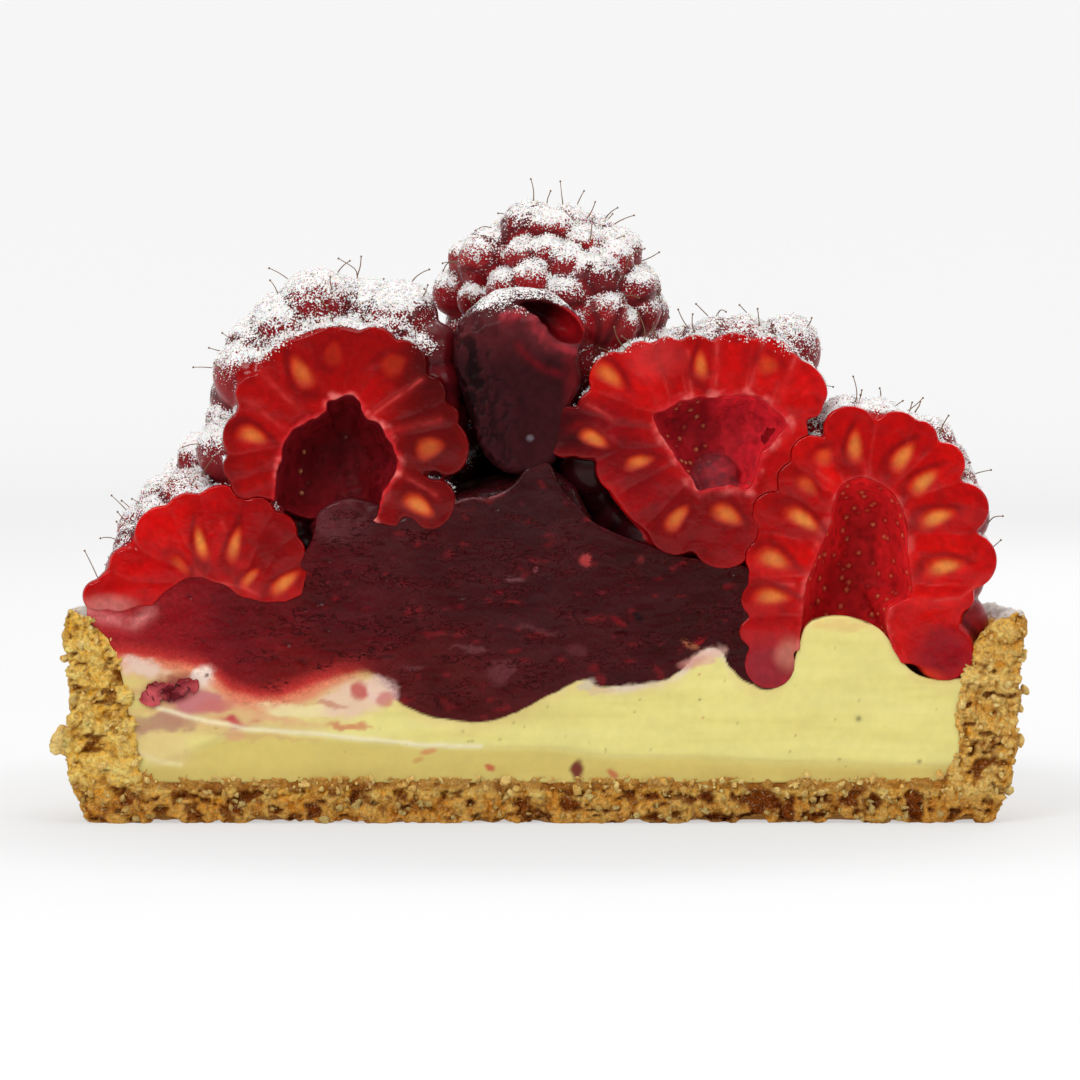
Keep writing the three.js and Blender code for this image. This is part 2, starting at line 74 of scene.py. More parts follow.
# The shell, as in the solids
SHELL_HEIGHT = 17.7
FOOT_RADIUS = 37.6
LIP_INNER_RADIUS = 35.4
WALL_INNER_RADIUS = 34.1
FLOOR_TOP = 3.8
CUT_Y = -20.5
AXIS_Y = -19.0
OUTER_PROFILE = [
    (36.6, 0), (FOOT_RADIUS, 0.9), (38.5, 3.2), (39.2, 6.6), (39.3, 10.2), (39.5, 13.8), (39.9, 16.8),
    (39.3, SHELL_HEIGHT),
]
INNER_PROFILE = [
    (38, 17.1), (36.3, 15.8), (LIP_INNER_RADIUS, 14.3), (34.6, 11.8), (WALL_INNER_RADIUS, 8.4), (33.9, 5.8),
    (33, 4.5), (31.7, FLOOR_TOP),
]

# The cut berries' faces stand this far in front of the fillings' faces
FACE_STEP = 0.12
# Well past every side of the tart
FAR = 60
# How deep the finely made skin of the crust reaches behind the cut
CRUST_FACE_DEPTH = 1.7
# Grid spacings of the skins, finest where the photograph shows them
CRUST_FACE_GRID = 0.15
CRUST_BACK_GRID = 0.48
FILLING_FACE_GRID = 0.15
FILLING_BACK_GRID = 0.5
CROWN_GRID = 0.2
HEAP_GRID = 0.28

# The photograph's scale on the cut face, and the pixel of x = 0, z = 0 there
PIXELS_PER_MM = 12.07
PIXEL_X = 545
PIXEL_Y = 824


def on_cut(px, py):
    """The x and z on the cut face of a pixel of the photograph."""
    return (px - PIXEL_X) / PIXELS_PER_MM, (PIXEL_Y - py) / PIXELS_PER_MM


def on_cut_all(pixels):
    return np.array([on_cut(px, py) for px, py in pixels])


# Numbers

def linear(colour):
    """A display colour, 0 to 255, as linear light."""
    c = np.asarray(colour, float) / 255
    return np.where(c <= 0.04045, c / 12.92, ((c + 0.055) / 1.055) ** 2.4)


def ramp(value, low, high):
    t = np.clip((value - low) / (high - low), 0, 1)
    return t * t * (3 - 2 * t)


def blend(a, b, share):
    share = np.asarray(share)[..., None]
    return np.asarray(a) * (1 - share) + np.asarray(b) * share


def toward(colours, colour, share):
    """Colours moved by a share of the way to one seen colour."""
    return blend(colours, linear(colour), share)


def unit(vector):
    vector = np.asarray(vector, float)
    return vector / np.linalg.norm(vector)


# Turns the noise's cells out of line with the pieces
NOISE_TURN = np.linalg.qr([(0.8, 0.3, 0.5), (-0.4, 0.9, 0.2), (0.2, -0.5, 0.8)])[0]


def hashed(cell, seed):
    """An even random number from 0 to 1 for each whole-number cell."""
    h = (cell[..., 0] * 73856093) ^ (cell[...,
                                          1] * 19349663) ^ (cell[..., 2] * 83492791) ^ (seed * 2654435761)
    for _ in range(2):
        h = h & 0xFFFFFFFF
        h = ((h ^ (h >> 16)) * 0x45D9F3B) & 0xFFFFFFFF
    return ((h ^ (h >> 16)) & 0xFFFFFFFF) / 4294967296.0


def soft_noise(points, size, seed=0):
    """Smooth noise from -1 to 1; size is a length or one for each axis."""
    p = points / np.asarray(size, float) @ NOISE_TURN
    cell = np.floor(p).astype(np.int64)
    f = p - cell
    f = f * f * (3 - 2 * f)
    total = np.zeros(len(p))
    for corner in itertools.product((0, 1), repeat=3):
        weight = np.prod(np.where(np.array(corner) == 1, f, 1 - f), axis=1)
        total += weight * hashed(cell + np.array(corner), seed)
    return 2 * total - 1


def layered_noise(points, size, seed=0, layers=3):
    size = np.asarray(size, float)
    total, strength = np.zeros(len(points)), 1.0
    for layer in range(layers):
        total += strength * soft_noise(points, size / 2 ** layer, seed + 17 * layer)
        strength *= 0.5
    return total / 1.6


def grains(points, size, seed=0):
    """Distance to the nearest and next nearest grain, in grain sizes, and the nearest one's tone."""
    p = points / np.asarray(size, float) @ NOISE_TURN
    home = np.floor(p).astype(np.int64)
    first = np.full(len(p), 9.0)
    second = np.full(len(p), 9.0)
    tone = np.zeros(len(p))
    for step in itertools.product((-1, 0, 1), repeat=3):
        cell = home + np.array(step)
        centre = cell + 0.1 + 0.8 * np.stack([hashed(cell, seed + k) for k in (1, 2, 3)], axis=1)
        distance = np.linalg.norm(p - centre, axis=1)
        nearer = distance < first
        second = np.where(nearer, first, np.minimum(second, distance))
        tone = np.where(nearer, hashed(cell, seed + 4), tone)
        first = np.where(nearer, distance, first)
    return first, second, tone


def to_segment(x, z, start, end):
    """Distance from points to a line from start to end, and the share of the way along it."""
    ax, az = start
    dx, dz = end[0] - ax, end[1] - az
    along = np.clip(((x - ax) * dx + (z - az) * dz) / (dx * dx + dz * dz), 0, 1)
    return np.hypot(x - ax - along * dx, z - az - along * dz), along


def to_line(x, z, pixels):
    """Distance from points to a line through pixels of the photograph."""
    spots = on_cut_all(pixels)
    return np.min([to_segment(x, z, a, b)[0] for a, b in zip(spots, spots[1:])], axis=0)


def blob(x, z, px, py, wide, high, turn=0.0, soft=0.35):
    """1 inside an ellipse given in pixels of the photograph and 0 outside, with a soft edge."""
    cx, cz = on_cut(px, py)
    a = math.radians(turn)
    u = (x - cx) * math.cos(a) + (z - cz) * math.sin(a)
    v = -(x - cx) * math.sin(a) + (z - cz) * math.cos(a)
    reach = np.hypot(u / (wide / 2 / PIXELS_PER_MM), v / (high / 2 / PIXELS_PER_MM))
    return 1 - ramp(reach, 1 - soft, 1 + soft)


def inside_outline(x, z, outline):
    """Whether points lie inside a closed outline of [x, z] spots."""
    inside = np.zeros(len(x), bool)
    for (ax, az), (bx, bz) in zip(outline, np.roll(outline, -1, axis=0)):
        crosses = (az > z) != (bz > z)
        with np.errstate(divide="ignore", invalid="ignore"):
            at = (bx - ax) * (z - az) / (bz - az) + ax
        inside ^= crosses & (x < at)
    return inside


def rounded(outline, steps=4, closed=True):
    """A smooth curve through the spots of an outline."""
    points = np.asarray(outline, float)
    count = len(points)
    out = []
    for i in range(count if closed else count - 1):
        before, here = points[i - 1] if closed or i else points[0], points[i]
        after = points[(i + 1) % count]
        later = points[(i + 2) % count] if closed else points[min(i + 2, count - 1)]
        square, cube = 2 * before - 5 * here + 4 * after - later, 3 * here - before - 3 * after + later
        for step in range(steps):
            t = step / steps
            out.append(0.5 * (2 * here + (after - before) * t + square * t * t + cube * t ** 3))
    if not closed:
        out.append(points[-1])
    return np.array(out)


# Meshes

def clear_selection():
    for obj in list(bpy.context.selected_objects):
        obj.select_set(False)


def make_active(obj):
    clear_selection()
    obj.select_set(True)
    bpy.context.view_layer.objects.active = obj


def mesh_object(name, verts, faces):
    """A mesh object from arrays of places and three- or four-sided faces."""
    mesh = bpy.data.meshes.new(name)
    sides = faces.shape[1]
    mesh.vertices.add(len(verts))
    mesh.vertices.foreach_set("co", np.asarray(verts, np.float32).ravel())
    mesh.loops.add(faces.size)
    mesh.loops.foreach_set("vertex_index", faces.astype(np.int32).ravel())
    mesh.polygons.add(len(faces))
    mesh.polygons.foreach_set("loop_start", np.arange(0, faces.size, sides, dtype=np.int32))
    mesh.update(calc_edges=True)
    mesh.validate()
    obj = bpy.data.objects.new(name, mesh)
    bpy.context.scene.collection.objects.link(obj)
    return obj


def closed_object(name, verts, faces):
    """A closed mesh object whose faces all point outwards."""
    obj = mesh_object(name, verts, faces)
    make_active(obj)
    bpy.ops.object.mode_set(mode="EDIT")
    bpy.ops.mesh.select_all(action="SELECT")
    bpy.ops.mesh.normals_make_consistent(inside=False)
    bpy.ops.object.mode_set(mode="OBJECT")
    return obj


def places(obj):
    co = np.empty(len(obj.data.vertices) * 3, np.float32)
    obj.data.vertices.foreach_get("co", co)
    return co.reshape(-1, 3).astype(float)


def put_places(obj, points):
    obj.data.vertices.foreach_set("co", points.astype(np.float32).ravel())
    obj.data.update()


def directions(obj):
    """The direction that the surface faces at each vertex."""
    out = np.empty(len(obj.data.vertices) * 3, np.float32)
    obj.data.vertex_normals.foreach_get("vector", out)
    return out.reshape(-1, 3).astype(float)


def finish_modifier(obj, kind, **settings):
    make_active(obj)
    modifier = obj.modifiers.new(kind.title(), kind)
    for key, value in settings.items():
        setattr(modifier, key, value)
    bpy.ops.object.modifier_apply(modifier=modifier.name)


def even_skin(obj, spacing, smoothing=2):
    """Gives overlapping shapes one closed skin with an even grid."""
    finish_modifier(obj, "REMESH", mode="VOXEL", voxel_size=spacing)
    if smoothing:
        finish_modifier(obj, "SMOOTH", factor=0.5, iterations=smoothing)


def take_away(obj, cutter, keep=False):
    finish_modifier(obj, "BOOLEAN", operation="DIFFERENCE", solver="MANIFOLD", object=cutter)
    if not keep:
        remove(cutter)


def keep_within(obj, cutter):
    finish_modifier(obj, "BOOLEAN", operation="INTERSECT", solver="MANIFOLD", object=cutter)
    remove(cutter)


def remove(obj):
    mesh = obj.data
    bpy.data.objects.remove(obj)
    bpy.data.meshes.remove(mesh)


def block(low, high):
    """A box between two corners, as a cutter."""
    clear_selection()
    bpy.ops.mesh.primitive_cube_add(size=1)
    obj = bpy.context.object
    low, high = np.array(low, float), np.array(high, float)
    put_places(obj, (low + high) / 2 + places(obj) * (high - low))
    return obj


def copy_of(obj, name):
    twin = obj.copy()
    twin.data = obj.data.copy()
    twin.name = name
    bpy.context.scene.collection.objects.link(twin)
    return twin


def joined(objects, name):
    clear_selection()
    for obj in objects:
        obj.select_set(True)
    bpy.context.view_layer.objects.active = objects[0]
    if len(objects) > 1:
        bpy.ops.object.join()
    objects[0].name = name
    objects[0].data.name = name
    return objects[0]


def ball_shape(level):
    """The corners and faces of a unit ball."""
    clear_selection()
    bpy.ops.mesh.primitive_ico_sphere_add(subdivisions=level, radius=1)
    obj = bpy.context.object
    verts = places(obj)
    faces = np.array([polygon.vertices[:] for polygon in obj.data.polygons])
    remove(obj)
    return verts, faces


BALLS = {}


def balls(centres, radii, axes=None, level=3):
    """Many ellipsoids as one set of corners and faces. axes holds a row of three directions for each."""
    if level not in BALLS:
        BALLS[level] = ball_shape(level)
    verts, faces = BALLS[level]
    centres, radii = np.asarray(centres, float), np.asarray(radii, float)
    if axes is None:
        axes = np.broadcast_to(np.eye(3), (len(centres), 3, 3))
    shaped = verts[None] * radii[:, None, :]
    shaped = np.einsum("nvk,nkj->nvj", shaped, axes) + centres[:, None, :]
    steps = np.arange(len(centres)) * len(verts)
    return shaped.reshape(-1, 3), (faces[None] + steps[:, None, None]).reshape(-1, 3)


def together(parts):
    """One set of corners and faces from several sets of three-sided faces."""
    verts, faces, start = [], [], 0
    for v, f in parts:
        verts.append(v)
        faces.append(f + start)
        start += len(v)
    return np.concatenate(verts), np.concatenate(faces)


def lofted(rings):
    """Corners and three-sided faces of a closed form through rings of equal count, with flat ends."""
    count = len(rings[0])
    verts = np.concatenate([*rings, [np.mean(rings[0], axis=0)], [np.mean(rings[-1], axis=0)]])
    faces = []
    first_end, last_end = len(verts) - 2, len(verts) - 1
    for i in range(count):
        j = (i + 1) % count
        for ring in range(len(rings) - 1):
            a, b = ring * count + i, ring * count + j
            faces += [(a, b, b + count), (a, b + count, a + count)]
        last = (len(rings) - 1) * count
        faces += [(j, i, first_end), (last + i, last + j, last_end)]
    return verts, np.array(faces)


def frame_along(tip):
    """Three directions for a form whose own Z points along the tip."""
    tip = unit(tip)
    side = unit(np.cross((0, 1, 0) if abs(tip[1]) < 0.9 else (1, 0, 0), tip))
    return np.array([side, np.cross(tip, side), tip])


def paint(obj, name, colours):
    """Keeps a colour, given in linear light, for each vertex."""
    attribute = obj.data.attributes.new(name, "FLOAT_COLOR", "POINT")
    out = np.ones((len(colours), 4), np.float32)
    out[:, :3] = np.clip(colours, 0, 1)
    attribute.data.foreach_set("color", out.ravel())


def tag(obj, name, values):
    attribute = obj.data.attributes.new(name, "FLOAT", "POINT")
    attribute.data.foreach_set("value", np.clip(values, 0, 1).astype(np.float32))


def settle(obj, material, slot, *nodes):
    """Brings a finished piece to metres and hands it to the frame."""
    obj.data.transform(Matrix.Scale(MM, 4))
    obj.data.materials.clear()
    obj.data.materials.append(material)
    obj.data.shade_smooth()
    clear_selection()
    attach(obj, "root")
    if nodes:
        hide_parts(*nodes)
    return obj


# Materials

class Finish:
    """A material being made: a Principled shader and the nodes that feed it."""

    def __init__(self, name, **constants):
        self.material = bpy.data.materials.new(name)
        self.material.use_nodes = True
        self.nodes = self.material.node_tree.nodes
        self.links = self.material.node_tree.links
        self.shader = self.nodes["Principled BSDF"]
        for key, value in constants.items():
            self.shader.inputs[key.replace("_", " ")].default_value = value
        self.objects = self.nodes.new("ShaderNodeTexCoord").outputs["Object"]

    def link(self, source, target):
        self.links.new(source, self.shader.inputs[target] if isinstance(target, str) else target)

    def attribute(self, name, output="Color"):
        node = self.nodes.new("ShaderNodeAttribute")
        node.attribute_name = name
        return node.outputs[output]

    def noise(self, size_mm, detail=2.0, roughness=0.5, stretch=(1, 1, 1)):
        vector = self.objects
        if stretch != (1, 1, 1):
            mapping = self.nodes.new("ShaderNodeMapping")
            mapping.inputs["Scale"].default_value = stretch
            self.links.new(vector, mapping.inputs["Vector"])
            vector = mapping.outputs["Vector"]
        node = self.nodes.new("ShaderNodeTexNoise")
        node.inputs["Scale"].default_value = 1 / (size_mm * MM)
        node.inputs["Detail"].default_value = detail
        node.inputs["Roughness"].default_value = roughness
        self.links.new(vector, node.inputs["Vector"])
        return node.outputs["Fac"]

    def cells(self, size_mm, output="Distance"):
        node = self.nodes.new("ShaderNodeTexVoronoi")
        node.inputs["Scale"].default_value = 1 / (size_mm * MM)
        self.links.new(self.objects, node.inputs["Vector"])
        return node.outputs[output]

    def math(self, operation, a, b=None, clamp=False):
        node = self.nodes.new("ShaderNodeMath")
        node.operation = operation
        node.use_clamp = clamp
        for socket, value in zip(node.inputs, (a, b)):
            if value is None:
                continue
            if isinstance(value, (int, float)):
                socket.default_value = value
            else:
                self.links.new(value, socket)
        return node.outputs[0]

    def steps(self, value, low, high, to_low=0.0, to_high=1.0):
        node = self.nodes.new("ShaderNodeMapRange")
        node.interpolation_type = "SMOOTHSTEP"
        for key, number in (("From Min", low), ("From Max", high), ("To Min", to_low), ("To Max", to_high)):
            node.inputs[key].default_value = number
        self.links.new(value, node.inputs["Value"])
        return node.outputs["Result"]

    def mix(self, a, b, share, kind="MIX"):
        node = self.nodes.new("ShaderNodeMix")
        node.data_type = "RGBA"
        node.blend_type = kind
        factor, first, second, colour_out = node.inputs[0], node.inputs[6], node.inputs[7], node.outputs[2]
        for socket, value in ((factor, share), (first, a), (second, b)):
            if isinstance(value, (int, float)):
                socket.default_value = value
            elif isinstance(value, np.ndarray):
                socket.default_value = (*value, 1.0)
            else:
                self.links.new(value, socket)
        return colour_out

    def bump(self, height, distance_mm, strength=1.0):
        node = self.nodes.new("ShaderNodeBump")
        node.inputs["Distance"].default_value = distance_mm * MM
        node.inputs["Strength"].default_value = strength
        self.links.new(height, node.inputs["Height"])
        return node.outputs["Normal"]


def berry_finish(name, settings, level=0.3):
    """Wet flesh coloured vertex by vertex, with icing sugar where the dust value is high."""
    finish = Finish(
        name,
        Roughness=0.2,
        IOR=1.36,
        Subsurface_Weight=settings.glow,
        Subsurface_Scale=0.0016,
    )
    finish.shader.inputs["Subsurface Radius"].default_value = (1.0, 0.22, 0.14)
    tint = finish.attribute("tint")
    mottle = finish.steps(finish.noise(0.55, 3.0), 0.25, 0.75, 0.86, 1.12)
    flesh = finish.mix(tint, mottle, 1.0, "MULTIPLY")
    dust = finish.attribute("dust", "Fac")
    grain = finish.math("ADD", finish.noise(0.15, 2.0), finish.math("MULTIPLY", finish.noise(0.7, 2.0), 0.4))
    cover = finish.math("ADD", finish.math("MULTIPLY", dust, 0.42), grain)
    sugar = finish.math("MULTIPLY", finish.steps(cover, 0.92, 1.0), finish.steps(dust, 0.02, 0.1))
    finish.link(finish.mix(flesh, linear(settings.sugar_colour_255()), sugar), "Base Color")
    wet = finish.attribute("wet", "Fac")
    skin_roughness = finish.steps(wet, 0.0, 1.0, 0.45, 0.12)
    finish.link(finish.steps(wet, 0.0, 0.4, 0.04, level), "Specular IOR Level")
    finish.link(finish.math("MAXIMUM", skin_roughness, finish.math("MULTIPLY", sugar, 0.95)), "Roughness")
    height = finish.math("ADD", finish.math("MULTIPLY", sugar, 1.0),
                         finish.math("MULTIPLY", finish.noise(0.4, 2.0), 0.25))
    finish.link(finish.bump(height, 0.09, 0.8), "Normal")
    return finish.material


def filling_finish(name, roughness, glow, radius, level, relief_mm, grain_mm, torn=False):
    """A moist filling coloured vertex by vertex, torn in short level strokes where asked."""
    finish = Finish(
        name,
        Roughness=roughness,
        IOR=1.42,
        Subsurface_Weight=glow,
        Subsurface_Scale=0.0012,
        Specular_IOR_Level=level,
    )
    finish.shader.inputs["Subsurface Radius"].default_value = radius
    mottle = finish.steps(finish.noise(grain_mm, 3.0), 0.3, 0.7, 0.975, 1.02)
    colour = finish.mix(finish.attribute("tint"), mottle, 1.0, "MULTIPLY")
    height = finish.noise(grain_mm, 3.0)
    if torn:
        shreds = finish.noise(0.8, 5.0, 0.7, stretch=(0.55, 1, 1.3))
        ridge = finish.math("ABSOLUTE", finish.math("SUBTRACT", shreds, 0.5))
        bands = finish.noise(1.6, 4.0, 0.6, stretch=(0.4, 1, 1))
        able = finish.math("MULTIPLY", finish.steps(bands, 0.48, 0.58), finish.attribute("torn", "Fac"))
        tear = finish.math("MULTIPLY", finish.steps(ridge, 0.022, 0.006), able)
        raw = finish.math("MULTIPLY", finish.steps(ridge, 0.075, 0.02), able)
        speckle = finish.steps(finish.noise(0.2, 4.0, 0.7), 0.3, 0.7, 0.8, 1.2)
        colour = finish.mix(colour, speckle, 1.0, "MULTIPLY")
        colour = finish.mix(colour, linear((112, 12, 22)), finish.math("MULTIPLY", raw, 0.42))
        # Painted shade, near black, inside the slits; their rims keep the raw jam's red
        colour = finish.mix(colour, linear((26, 2, 5)), finish.math("MULTIPLY", tear, 0.9))
        height = finish.math("SUBTRACT", finish.math("MULTIPLY", height, 0.5),
                             finish.math("MULTIPLY", tear, 2.4))
    finish.link(colour, "Base Color")
    wet = finish.steps(finish.attribute("wet", "Fac"), 0.0, 1.0, 1.6 * roughness, roughness)
    finish.link(wet, "Roughness")
    finish.link(finish.bump(height, relief_mm, 1.0), "Normal")
    return finish.material


def crust_finish():
    finish = Finish("baked_shortcrust", Roughness=0.85, IOR=1.45, Specular_IOR_Level=0.1,
                    Subsurface_Weight=0.05,
                    Subsurface_Scale=0.0009)
    finish.shader.inputs["Subsurface Radius"].default_value = (1.0, 0.55, 0.2)
    tint = finish.attribute("tint")
    fine = finish.steps(finish.noise(0.26, 4.0, 0.75), 0.34, 0.66, 0.74, 1.26)
    toasted = finish.mix(tint, fine, 1.0, "MULTIPLY")
    sand = finish.steps(finish.noise(0.17, 2.0), 0.56, 0.68)
    toasted = finish.mix(toasted, finish.mix(tint, linear((255, 238, 196)), 0.4),
                         finish.math("MULTIPLY", sand, 0.6))
    dust = finish.attribute("dust", "Fac")
    level = finish.math("ADD", finish.math("MULTIPLY", dust, 0.62), finish.noise(0.26, 2.0))
    sugar = finish.steps(level, 0.88, 1.0)
    finish.link(finish.mix(toasted, linear((240, 234, 226)), sugar), "Base Color")
    height = finish.math("ADD", finish.noise(0.5, 6.0, 0.8), finish.math("MULTIPLY", finish.cells(0.5), 0.3))
    finish.link(finish.bump(height, 0.3, 1.0), "Normal")
    return finish.material


def plain_finish(name, colour, roughness, glow=0.0):
    finish = Finish(name, Roughness=roughness, Subsurface_Weight=glow, Subsurface_Scale=0.0005)
    shade = finish.steps(finish.noise(0.3, 2.0), 0.3, 0.7, 0.88, 1.08)
    finish.link(finish.mix(linear(colour), shade, 1.0, "MULTIPLY"), "Base Color")
    return finish.material


# Shell

def shell_body(name):
    """The turned shell, from the cut to the back, as one closed mesh."""
    outer = rounded([(30, 0), *OUTER_PROFILE], 3, closed=False)[3:]
    inner = rounded(INNER_PROFILE, 3, closed=False)
    profile = np.concatenate([[(0, 0)], outer, inner, [(0, FLOOR_TOP)]])
    verts = np.stack([profile[:, 0], np.full(len(profile), AXIS_Y), profile[:, 1]], axis=1)
    mesh = bpy.data.meshes.new(name)
    mesh.from_pydata(verts.tolist(), [(i, i + 1) for i in range(len(verts) - 1)], [])
    obj = bpy.data.objects.new(name, mesh)
    bpy.context.scene.collection.objects.link(obj)
    make_active(obj)
    bpy.ops.object.mode_set(mode="EDIT")
    bpy.ops.mesh.select_all(action="SELECT")
    bpy.ops.mesh.spin(steps=220, angle=2 * math.pi, center=(0, AXIS_Y, 0), axis=(0, 0, 1))
    bpy.ops.mesh.select_all(action="SELECT")
    bpy.ops.mesh.remove_doubles(threshold=0.001)
    bpy.ops.mesh.normals_make_consistent(inside=False)
    bpy.ops.object.mode_set(mode="OBJECT")
    return obj


def shell_colours(points, facing, crumb, pit_shade, on_cut_face):
    """Toasted tones: light crumbs, partly painted light on the raised ones, painted shade in the pits, a
    browner outer skin and a soaked top of the base.
    """
    x, y, z = points.T
    dark, mid, light = (linear(c) for c in ((148, 80, 14), (255, 186, 50), (255, 234, 142)))
    broad = layered_noise(points, 5.0, 51)
    colours = blend(mid, light, np.clip(0.48 + 0.8 * crumb + 0.3 * broad, 0, 1))
    colours = blend(colours, dark, np.clip(1.1 * pit_shade, 0, 1))
    low = 1 - ramp(z + 0.5 * soft_noise(points, 1.1, 53), 1.6, 3.4)
    colours = colours * (1 - low[:, None] * (0.26, 0.46, 0.62))
    right = ramp(x, 25, 34)
    colours = colours * (1 - (right * (1 - low))[:, None] * (0.08, 0.2, 0.26))
    radius = np.hypot(x, y - AXIS_Y)
    browned = ramp(radius, 37.8, 39.4) * (1 - on_cut_face) * ramp(z, 0.5, 3)
    colours = toward(colours, (176, 112, 46), 0.62 * browned * (0.8 + 0.3 * broad))
    soaked = on_cut_face * ramp(z, 2.5, 3.1) * (np.abs(x) < 33.5)
    colours = toward(colours, (172, 108, 38), 0.75 * soaked)
    under = (1 - on_cut_face) * ramp(-facing[:, 2], 0.5, 0.9) * (z < 2)
    return toward(colours, (140, 84, 34), 0.7 * under)


def crumble(obj, settings):
    """Pushes the skin into crumbs and pits and colours it."""
    points, facing = places(obj), directions(obj)
    x, y, z = points.T
    size = settings.crumb_size / MM
    warp = np.stack([soft_noise(points, 0.7, seed) for seed in (33, 34, 35)], axis=1)
    first, second, tone = grains(points + 0.35 * warp, size, 31)
    small_first, small_second, small_tone = grains(points + 0.2 * warp, 0.5 * size, 47)
    fine_tone = grains(points + 0.1 * warp, 0.24 * size, 49)[2]
    block_step = 0.34 * (tone - 0.5) + 0.2 * (small_tone - 0.5) + 0.1 * (fine_tone - 0.5)
    clumps = sum(height * np.abs(soft_noise(points + 0.4 * warp, wide, seed))
                 for wide, height, seed in ((1.7, 0.42, 36), (0.85, 0.32, 37), (0.42, 0.2, 38)))
    crack = (1 - ramp(second - first, 0.0, 0.16)) + 0.7 * (1 - ramp(small_second - small_first, 0.0, 0.2))
    crack = np.clip(crack, 0, 1.3)
    jagged = layered_noise(points, 1.5, 65, 4)
    sandy = soft_noise(points, 0.36, 67)
    base_share = 1 - ramp(z, 2.4, 4.0)
    holes = np.maximum(ramp(layered_noise(points, 1.9, 61, 3) + 0.14 * base_share, 0.3, 0.62),
                       0.8 * ramp(layered_noise(points, (1.2, 0.9, 0.7), 63, 3) + 0.2 * base_share, 0.3,
                                  0.55))
    on_face = ramp(-facing[:, 1], 0.45, 0.8) * (y < CUT_Y + 0.8)
    radius = np.hypot(x, y - AXIS_Y)
    inner_side = (radius < 36.5) & (z > FLOOR_TOP - 0.4) & (on_face < 0.5)
    rough = np.where(on_face > 0.3, 1.0, np.where(inner_side, 0.25, 0.62))
    rough = np.where((z < 0.6) & (facing[:, 2] < -0.5), 0.18, rough)
    soaked = (on_face > 0.3) & (z > 2.7) & (np.abs(x) < 33.5)
    rough = np.where(soaked, 0.42, rough)
    relief = 1.5 * block_step + 0.6 * clumps - 0.06 * crack
    relief += 0.25 * jagged + 0.06 * sandy - 0.6 * holes - 0.05
    relief += 0.16 * layered_noise(points, 4.5, 71, 2)
    moved = points + facing * (relief * rough)[:, None] * (1.0, 1.0, 0.8)
    # The left wall leans out further at its foot, and the underside is ragged along the cut
    moved[:, 0] -= 0.75 * ramp(-x, 33, 37.5) * (1 - ramp(z, 4.5, 11)) * ramp(radius, 35.5, 37)
    ragged = 0.75 * ramp(layered_noise(points * (1, 0.6, 0), 1.7, 73, 3), -0.1, 0.55)
    moved[:, 2] = np.maximum(moved[:, 2], ragged * (1 - ramp(y - CUT_Y, 1.0, 3.5)))
    put_places(obj, moved)
    # The crumbs' tone follows their height: partly their own tones, partly painted light on the raised ones
    crumb = 1.2 * block_step + (clumps - 0.3) + 0.3 * jagged + 0.2 * sandy + 0.3 * (fine_tone - 0.5)
    creases = 1 - ramp(clumps, 0.06, 0.24)
    # Painted shade in the holes, cracks and creases
    pit_shade = np.clip(0.9 * holes + 0.12 * crack + 0.6 * creases, 0, 1) * (rough > 0.3)
    paint(obj, "tint", shell_colours(points, facing, crumb, pit_shade * (0.35 + 0.65 * on_face), on_face))
    rim = ramp(z, 16.0, 17.3) * ramp(facing[:, 2], 0.25, 0.8)
    patches = 0.5 + 0.5 * layered_noise(points, 6.0, 81, 2) + 0.5 * ramp(x, 25, 33)
    tag(obj, "dust", rim * ramp(patches, 0.15, 0.6) * (1 - 0.8 * on_face))


def add_crust(settings):
    whole = shell_body("shell_whole")
    back = copy_of(whole, "shell_back")
    keep_within(whole, block((-FAR, CUT_Y, -1), (FAR, CUT_Y + CRUST_FACE_DEPTH, FAR)))
    keep_within(back, block((-FAR, CUT_Y + CRUST_FACE_DEPTH - 0.1, -1), (FAR, FAR, FAR)))
    even_skin(whole, CRUST_FACE_GRID, 1)
    even_skin(back, CRUST_BACK_GRID, 1)
    crumble(whole, settings)
    crumble(back, settings)
    shell = joined([whole, back], "crust_baked")
    return settle(shell, crust_finish(), "crust", "crust")


# Fillings

SPECKS = 46
# Light that the wet faces give back by themselves, left out of their own colours
COMPOTE_SHEEN = 0.006
FLESH_SHEEN = 0.007


def inner_room(grow):
    """The room inside the shell, a little larger, as a closed form."""
    inner = rounded(INNER_PROFILE[::-1], 3, closed=False) + (grow, 0)
    profile = [(0, FLOOR_TOP - grow), *[(r, z - grow * (z < 6)) for r, z in inner], (inner[-1][0], FAR),
               (0, FAR)]
    profile = np.array(profile)
    angles = np.linspace(0, 2 * math.pi, 160, endpoint=False)
    rings = []
    for r, z in profile[1:-1]:
        rings.append(np.stack([r * np.cos(angles), AXIS_Y + r * np.sin(angles), np.full(len(angles), z)],
                              axis=1))
    return closed_object("inner_room", *lofted(rings))


def face_strip(name, low, high, x_low, x_high, depth, step=0.0):
    """A slab behind the cut between a lower and an upper edge."""
    xs = np.linspace(x_low, x_high, 300)
    bottom, top = low(xs), np.maximum(high(xs), low(xs) + 0.05)
    front, rear = np.full(len(xs), CUT_Y - step), np.full(len(xs), CUT_Y + depth)
    columns = np.stack([
        np.stack([xs, front, bottom], axis=1), np.stack([xs, front, top], axis=1),
        np.stack([xs, rear, top], axis=1), np.stack([xs, rear, bottom], axis=1),
    ], axis=1)
    return closed_object(name, *lofted(list(columns)))


